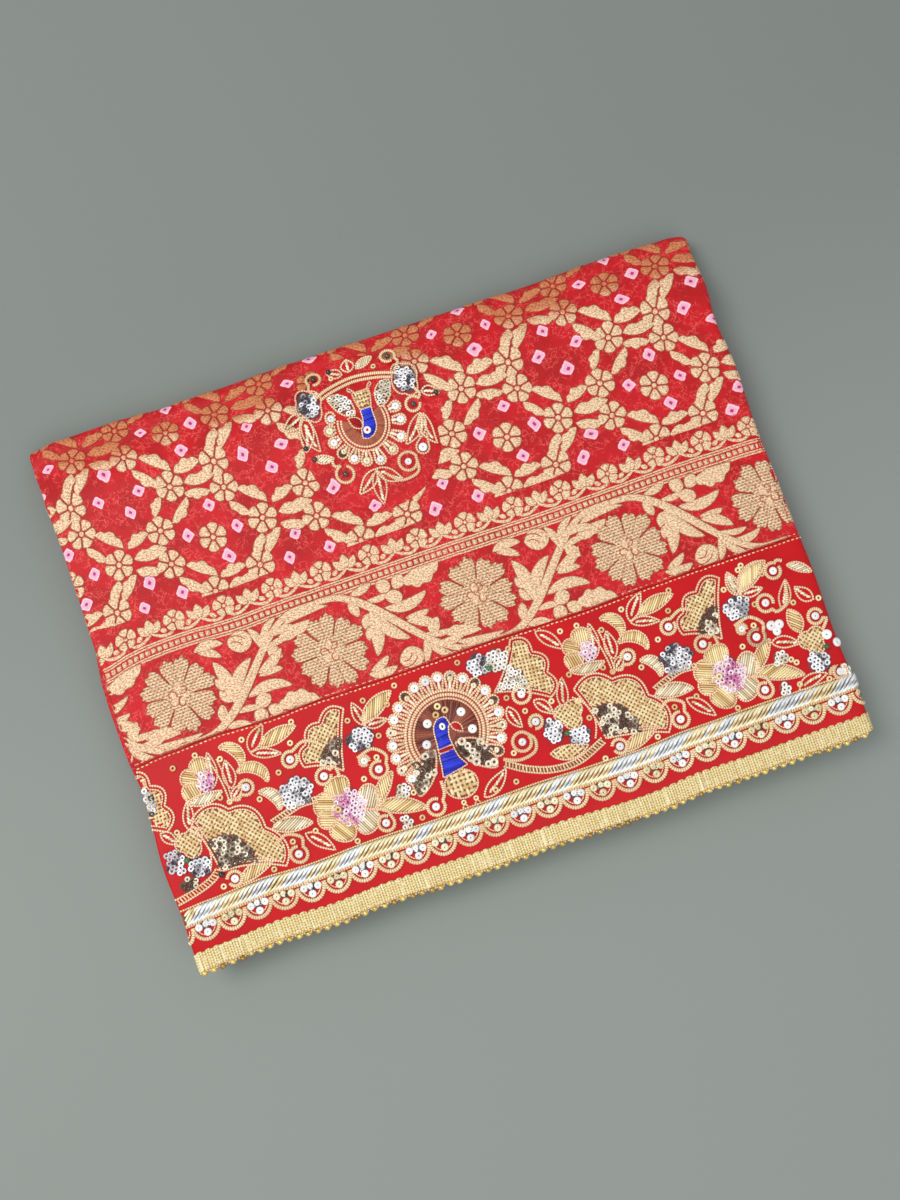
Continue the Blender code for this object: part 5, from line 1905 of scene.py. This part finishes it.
def band_single(work):
    """What comes once, and the row of stitches along the band's upper edge."""
    work.trefoil((-190.6, 59.4), 9.0, 40)
    work.put("green_beads", -195.0, 50.5, 1.2, 0, (1.7, 1.7, 1.6))
    work.put("dark_beads", -179.6, 36.0, 1.2, 0, (1.8, 1.8, 1.7))
    work.beaded_line(((-209, 30.5), (-196, 32), (-186, 35), (-180, 38.6)), 1.8)
    for number in range(150):
        v = 110.9 + RANDOM.uniform(-0.2, 0.2)
        work.put("straw_stitches", -207.6 + 2.8 * number, v, 0.0, 0, (1.6, 0.7, 0.5))
    for u, v, radius, start, sweep, tail in SINGLE_SCROLLS:
        work.scroll(np.array((u, v)), radius, start, sweep, tail)
    for u, v in SINGLE_RINGS:
        work.ring(u, v)
    for row in SINGLE_OPEN_LEAVES:
        work.open_leaf(row[:2], row[2:4], *row[4:])
    for u, v, reach_u, reach_v, lobes, piece in SINGLE_CLUSTERS:
        work.cluster((u, v), (reach_u, reach_v), lobes, piece)
    for shift in (0.0, -BAND_REPEAT):
        move = np.array([shift, 0.0])
        put_fan(work, LONE_FAN, move, "white_sequins", 1.7, 2.6, 85)
    for centre, size in (((42.6, 57.4), 9.2), ((194.6, 50.6), 8.8)):
        work.trefoil(centre, size, 40)
    for u, v, size in RIGHT_CUPS:
        work.cup(u, v, size)
    for u, v in ((37.4, 47.4), (5.2, 97.6), (200.8, 44.4)):
        work.put("green_beads", u, v, 1.3, 0, (1.8, 1.8, 1.7))
    work.satin_leaf((162.0, 92.0), (181.0, 105.0), 9.0, 1.2)
    work.satin_leaf((189.0, 57.4), (186.0, 72.6), 9.0, -0.8)
    work.satin_leaf((194.6, 97.6), (207.4, 89.0), 5.4, 1.0, "pale_stitches")
    work.beaded_line(((-3.4, 42.0), (8.0, 34.6), (22.0, 29.8), (38.0, 30.0), (56.0, 37.0)), 1.8)
    basket = leaf_outline((24.0, 38.8), (47.0, 37.4), 8.4, -1.6)
    work.basket(basket, 20)
    work.outline(basket)


def patch_half_width(v):
    """Half the patch's width at a distance v: an oval, broader on the hem side."""
    along = np.clip((v - PATCH_V / MM) / (PATCH_HALF_LENGTH / MM), -0.992, 0.992)
    return PATCH_HALF_WIDTH / MM * np.sqrt(1.0 - along**2) * (1.0 - PATCH_TAPER * along)


PATCH_TOP = 0.95


def satin_patch(silk):
    """The oval patch of satin on the top layer, its edge turned under and stitched down."""
    def shape(share, v):
        half = patch_half_width(v)
        to_end = (PATCH_HALF_LENGTH / MM - np.abs(v - PATCH_V / MM)) * 1.6
        rim = np.minimum(half * (1.0 - np.abs(share)), to_end)
        wave = 0.05 * np.sin(share * 9 + v / 3.1) * np.sin(v / 5.3)
        return PATCH_X / MM + share * half, v, 0.42 + (PATCH_TOP - 0.42 + wave) * smooth(rim / 2.4)
    shares = np.sin(np.linspace(-0.5, 0.5, 41) * math.pi)
    vs = (PATCH_V + PATCH_HALF_LENGTH * np.sin(np.linspace(-0.5, 0.5, 49) * math.pi)) / MM
    patch = slab("satin_patch", shares, vs, shape, silk, "red_patch", foot=0.08)
    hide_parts("butta")
    return patch


# The bird figure on the patch. Columns: base u, v, tip u, v, width, bend, thread.
BUTTA_LEAVES = (
    (-8.6, 290.2, 2.8, 295.4, 6.0, 0.6, "pale_stitches"),
    (-51.0, 248.4, -39.4, 244.6, 5.0, -0.4, "pale_stitches"),
)
BUTTA_OPEN = (
    (18.4, 254.6, 4.0, 239.0, 7.6, 1.4),
    (19.0, 254.0, 13.6, 240.0, 5.4, 0.6),
    (20.4, 253.6, 22.0, 234.0, 7.4, -2.2),
    (-48.0, 273.4, -45.6, 251.0, 7.8, -1.8),
    (-48.6, 273.6, -62.4, 269.4, 6.6, 0.4),
    (-18.6, 231.0, -32.6, 219.8, 7.6, 0.8),
    (-18.4, 230.0, -20.8, 209.6, 7.8, 0.0),
    (-17.6, 231.0, -5.0, 219.8, 7.4, -0.8),
    (-49.0, 273.0, -53.8, 253.2, 8.2, 1.2),
    (23.4, 266.6, 33.4, 262.4, 5.6, 0.6),
    (-13.6, 289.6, -12.6, 299.6, 7.8, 0.0),
    (-18.0, 289.4, -26.4, 294.6, 6.6, 0.4),
)
BUTTA_SCROLLS = (
    (-35.2, 292.2, 5.2, 215, -1, ((-37.4, 281.0), (-40.0, 285.6))),
    (11.6, 291.8, 5.2, -35, 1, ((12.0, 281.0), (16.2, 285.6))),
    (16.4, 260.8, 5.4, 30, 1, ((19.6, 269.4), (22.0, 266.0))),
    (-36.4, 233.8, 6.2, 100, 1, ((-40.6, 246.0), (-41.0, 240.6))),
    (1.4, 229.0, 6.6, 20, 1, ((-13.0, 225.6), (-6.0, 219.6), (5.0, 221.4))),
)
# Rays round the lower fan. Columns: direction from its middle, reach, piece.
BUTTA_RAYS = (
    (156, 19.6, "white_cups"), (176, 21.0, "straw_cups"), (196, 21.6, "white_cups"),
    (217, 22.4, "dark_sequins"), (236, 22.4, "white_cups"), (255, 23.0, "straw_cups"),
    (275, 24.0, "white_cups"), (298, 23.4, "straw_cups"), (321, 23.6, "white_cups"),
    (347, 22.4, "white_cups"), (9, 21.6, "white_cups"),
)
# Wings of the upper bird. Columns: base u, v, tip u, v, width, bend.
BUTTA_WINGS = ((-19.0, 265.5, -32.0, 277.5, 9.0, -1.2), (-3.0, 265.5, 7.0, 277.0, 8.6, 1.2))


def butta(work):
    """The bird figure, sewn on the patch."""
    work.base = PATCH_TOP
    for out, thick in ((0.0, 1.1), (2.9, 1.0)):
        foot = 280.4 - 0.6 * out - 0.8
        crown = [(-28.6, 283.0 - out), (-14, 285.2 - out), (-1, 283.6 - out)]
        line = [(-38.6 + out, foot), *crown, (12.0 - out, foot)]
        work.coils.add(curve_through(line, 1.0), thick, 0.6 + work.base)
    for row in BUTTA_LEAVES:
        work.satin_leaf(row[:2], row[2:4], *row[4:])
    for row in BUTTA_OPEN:
        work.open_leaf(row[:2], row[2:4], *row[4:])
    for u, v, radius, start, sweep, tail in BUTTA_SCROLLS:
        work.scroll(np.array((u, v)), radius, start, sweep, tail, 2.2 if u == 1.4 else 0.0, 1.0)
        work.put("white_cups" if u == 1.4 else "dark_beads", u, v, 0.8, 0, (1.8, 1.8, 1.5))
    work.cluster((-43.4, 277.8), (7.0, 8.2), 4, corded=True)
    work.cluster((16.2, 275.4), (7.0, 8.0), 4, corded=True)
    for row in BUTTA_WINGS:
        outline = leaf_outline(row[:2], row[2:4], row[4], row[5], blunt=0.6, step=1.0)
        work.spangles(outline, "white_sequins", 1.7, 2.6, 0.6)
        work.outline(outline)
    middle = np.array((-15.6, 259.6))
    for number in range(60):
        deg = 164.0 + 3.75 * number
        spot = middle + heading(deg) * (9.8, 10.8)
        work.put("brown_stitches", *spot, 0.1, deg, (8.0, 0.95, 0.9), tint=RANDOM.uniform(0.1, 0.6))
    for radius in (14.2, 16.4):
        angles = np.radians(np.linspace(160, 380, 44))
        ring = middle + np.stack([np.cos(angles) * radius * 0.94, np.sin(angles) * radius * 1.04], -1)
        work.cord(spaced(ring, 1.0), 0.75)
    for deg, reach, piece in BUTTA_RAYS:
        ray(work, middle, deg, 17.2, reach, piece, 2.4, 2.2)
    cup = ribbon_outline([(-11.6, 276.0), (-11.6, 271.5), (-11.6, 267.4)], (10.6, 9.6, 6.8), 1.0)
    work.basket(cup, 0.0, 1.9)
    work.outline(cup)
    for u, lean in ((-15.4, -1.0), (-7.2, 1.0)):
        foot = ((0.0, 276.2), (1.2, 278.2), (3.0, 279.6), (3.4, 278.0), (1.6, 276.8))
        work.cord([(u + away * lean, v) for away, v in foot], 0.6)
    neck_line = [(-11.8, 267.0), (-11.9, 261.0), (-12.6, 256.4), (-15.0, 253.4), (-18.4, 253.6)]
    neck = ribbon_outline(neck_line, (7.0, 6.6, 7.4, 8.2, 8.0, 6.0), 1.0)
    work.fill(neck, 0, "blue_stitches", 0.75, 1.2, 0.8)
    work.outline(neck, 0.5, 1.0)
    work.put("white_cups", -15.0, 254.4, 2.0, 0, (2.4, 2.4, 2.2))
    work.put("red_stitches", -15.0, 254.4, 2.3, 0, (1.9, 1.9, 1.0))
    beak = leaf_outline((-17.6, 256.6), (-24.0, 264.6), 6.0, -0.8, step=0.8)
    work.fill(inset(beak, 0.5), 140, "red_stitches", 0.8, 1.3, 0.9)
    work.outline(beak, 0.5, 0.9)
    work.cup(12.8, 234.4, 2.8)
    loop = [(17.4, 242.6), (11.0, 238.4), *arc(12.8, 234.4, 3.9, 150, 210), (18.2, 242.0)]
    work.cord(spaced(loop, 1.0), 0.7)
    for u, v in ((1.4, 287.8), (-25.0, 288.8)):
        work.ring(u, v, 1.8)
    for u, v in ((-50.6, 247.8), (31.6, 263.2), (-53.4, 255.6), (-25.0, 293.8)):
        work.put("dark_beads", u, v, 1.1, 0, (1.7, 1.7, 1.6))
    work.base = 0.0


# Where the rope's strands end, and the places along it where its thread is silver, in mm.
ROPE_LEFT, ROPE_RIGHT = -208.6, 210.8
SILVER_TURNS = (-195.0, -165.0, -137.0, -108.0, -65.0, -22.0, 20.0, 60.0, 88.0, 125.0, 165.0, 205.0)
THREADS = {
    "gold": metal_thread("rope_thread", linear(250, 238, 202), linear(204, 174, 122), 9.0, 0.34, 0.2),
    "silver": metal_thread("silver_thread", linear(244, 246, 246), linear(182, 184, 184), 9.0, 0.34, 0.2),
    "straw": metal_thread("straw_cord", linear(246, 218, 164), linear(176, 118, 74), 1.5),
}


def twisted_rope():
    """The rope: slanting strands over a low dome, gold with silver lengths, and a cord on either side."""
    strands = {"gold": Cords(0.0), "silver": Cords(0.0)}
    share = np.linspace(-1.0, 1.0, 13)
    for number in range(148):
        u = -216.0 + 2.95 * number + RANDOM.uniform(-0.25, 0.25)
        near = min(abs(u - turn) for turn in SILVER_TURNS)
        line = np.stack([u + 6.6 * share, ROPE_V / MM + 0.3 + 3.7 * np.sin(share * math.pi / 2)], -1)
        lift = 0.2 + 1.2 * np.sqrt(np.clip(1.0 - share**2, 0.0, 1.0)) + RANDOM.uniform(-0.08, 0.08)
        silver = near + RANDOM.uniform(-8.0, 8.0) < 9.0
        radius = 0.86 + RANDOM.uniform(-0.14, 0.12)
        strands["silver" if silver else "gold"].add(line, radius, lift, ROPE_LEFT, ROPE_RIGHT)
    twist = strands["gold"].build("rope_twist", THREADS["gold"], "gold_rope")
    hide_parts("rope")
    silver = strands["silver"].build("rope_silver", THREADS["silver"], "gold_rope")
    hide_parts("rope")
    base, lines, reach = Cords(), Cords(), np.arange(-212, 212, 1.0)
    base.add([(u, ROPE_V / MM + 0.3) for u in reach], 2.9, 0.05)
    # Painted shade: a dark brown strip under the strands, so that the gaps between them read as shade.
    gap_shade_look = metal_thread("rope_core", linear(128, 84, 48), linear(78, 46, 32), 1.6)
    gap_shade_strip = base.build("rope_core", gap_shade_look, "gold_rope", sides=10, flatness=0.36)
    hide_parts("rope")
    for v_line, radius in ((25.0, 0.6), (15.7, 0.7), (14.8, 0.42)):
        lines.add([(u, v_line + 0.12 * math.sin(u / 7.0)) for u in reach], radius, 0.35)
    lines.build("rope_lines", THREADS["straw"], "gold_rope")


def scallops(work):
    """Coiled loops from the rope towards the lace, with cup sequins in them, white and straw by turns."""
    loops = Cords()
    for number in range(-1, 26):
        u = -197.9 + 15.85 * number + 0.022 * number**2
        loops.add(moved(arc(0, 0, 7.75, 176, 188, step=0.9), (u, 13.0), flip=1.03), 1.2, 0.45)
        work.cord(moved(arc(0, 0, 5.6, 180, 180, step=0.9), (u, 13.0), flip=1.03), 0.4, 0.3)
        piece = "straw_cups" if number % 2 else "white_cups"
        for du, v, size in ((-4.3, 12.4, 2.3), (4.2, 12.2, 2.3), (0.1, 8.6, 2.4), (-0.2, 13.0, 1.8)):
            work.cup(u + du + RANDOM.uniform(-0.3, 0.3), v, size, piece)
        outline = np.array([(u - 3.4, 14.8), (u + 4.0, 14.8), (u + 2.6, 10.4), (u - 2.2, 10.4)])
        work.spangles(outline, "dark_sequins" if number % 2 else "silver_sequins", 1.1, 2.0, 0.2)
    coil_look = metal_thread("scallop_coil", linear(250, 228, 184), linear(198, 142, 96), 1.4)
    loops.build("scallop_coils", coil_look, "red_satin", sides=8, flatness=0.8)


def lace_work():
    """The lace's ribbed face with its waved upper edge, and the brass beads on loops at its lower edge."""
    def shape(u, share):
        crest = -0.9 + 1.3 * np.abs(np.cos(math.pi * u / 5.3)) ** 0.6 + 0.3 * np.sin(u / 13.0)
        v = -10.4 + share * (10.4 + crest)
        cords = 0.5 + 0.5 * np.cos(2 * math.pi * u / 1.25)
        bars = 0.5 + 0.5 * np.cos(2 * math.pi * (v / 1.9 + 0.12 * np.sin(2 * math.pi * u / 5.0)))
        rim = smooth(share / 0.08) * smooth((1 - share) / 0.08)
        hem = np.exp(-(((share - 0.06) / 0.05) ** 2)) + np.exp(-(((share - 0.94) / 0.05) ** 2))
        return u, v, 0.12 + rim * (0.30 + 0.16 * cords + 0.14 * bars) + 0.22 * hem
    us, shares = np.arange(-209.6, 213.4, 0.4167), np.linspace(0, 1, 17)
    slab("lace_face", us, shares, shape, ribbed_ribbon(), "gold_lace", foot=-0.1)
    beads, loops = Scatter("bead"), Cords()
    for number in range(72):
        u = -207.4 + 5.78 * number + RANDOM.uniform(-0.3, 0.3)
        drop = RANDOM.uniform(-0.5, 0.3)
        size = RANDOM.uniform(1.9, 2.25)
        tilt = (90.0 + RANDOM.uniform(-16, 16), RANDOM.uniform(-20, 20))
        beads.add(u, -11.2 + drop, 0.1, 0.0, (size, size, size), tilt, RANDOM.random())
        half = ((2.7, -9.0), (2.2, -10.6), (1.2, -11.0 + drop))
        loop = [(u - away, v) for away, v in half] + [(u + away, v) for away, v in half[::-1]]
        loops.add(curve_through(loop, 0.7), 0.66, 0.4)
    brass = sewn_finish("lace_beads", "bead", (236, 208, 118), (158, 122, 50), 0.2, 0.5, 0.4)
    beads.build("lace_beads", brass, "gold_lace")
    loops.build("lace_loops", THREADS["straw"], "gold_lace", sides=5)


def camera_and_light():
    """The photograph's camera, a pale floor painted darker towards the back as a falloff of light, and soft
    light from the upper left.
    """
    scene = bpy.context.scene
    scene.view_settings.view_transform = "Standard"
    camera = linked("camera", bpy.data.cameras.new("camera"))
    camera.data.lens = 18.0 / math.tan(math.radians(25.0))
    camera.data.sensor_width = 36.0
    camera.location = (-0.0448, -0.0436, 0.7829)
    camera.rotation_euler = (0.0657, -0.0360, -0.3377)
    scene.camera = camera
    corners = [(-4, -4, 0), (4, -4, 0), (4, 4, 0), (-4, 4, 0)]
    floor = new_object("floor", corners, [(0, 1, 2, 3)], smooth_shade=False)
    paint = Finish("floor_paper", linear(138, 145, 140), 0.8)
    # Painted falloff of light: the floor darker towards the back.
    light_falloff = paint.split(paint.object_place())[1].band(-0.12, 0.24)
    paint.put(Base_Color=paint.mix(light_falloff, linear(139, 146, 141), linear(124, 131, 127)))
    floor.data.materials.append(paint.material)
    world = bpy.data.worlds.new("studio")
    world.use_nodes = True
    world.node_tree.nodes["Background"].inputs["Color"].default_value = (0.96, 0.98, 1.0, 1.0)
    world.node_tree.nodes["Background"].inputs["Strength"].default_value = 0.56
    scene.world = world
    lamps = (
        ("key", (-0.8, 0.5, 1.5), 0.9, 17.0, (1.0, 0.98, 0.95)),
        ("fill", (0.2, -1.1, 1.5), 1.4, 8.5, (0.98, 0.99, 1.0)),
    )
    for name, place, size, power, colour in lamps:
        lamp = linked(name, bpy.data.lights.new(name, "AREA"))
        lamp.data.size, lamp.data.energy, lamp.data.color = size, power, colour
        lamp.location = place
        lamp.rotation_euler = (-Vector(place)).to_track_quat("-Z", "Y").to_euler()


def main():
    silk = dotted_silk()
    panel, band, lace = make_sheets(silk)
    gold = gold_brocade("gold_brocade", False)
    silk_net(gold)
    silk_border(gold, gold_brocade("pierced_brocade", True))
    patch = satin_patch(silk)
    work = Work()
    for shift in (0.0, BAND_REPEAT):
        band_unit(work, shift)
    band_single(work)
    peacock(work)
    scallops(work)
    butta(work)
    work.build()
    twisted_rope()
    lace_work()
    camera_and_light()


main()
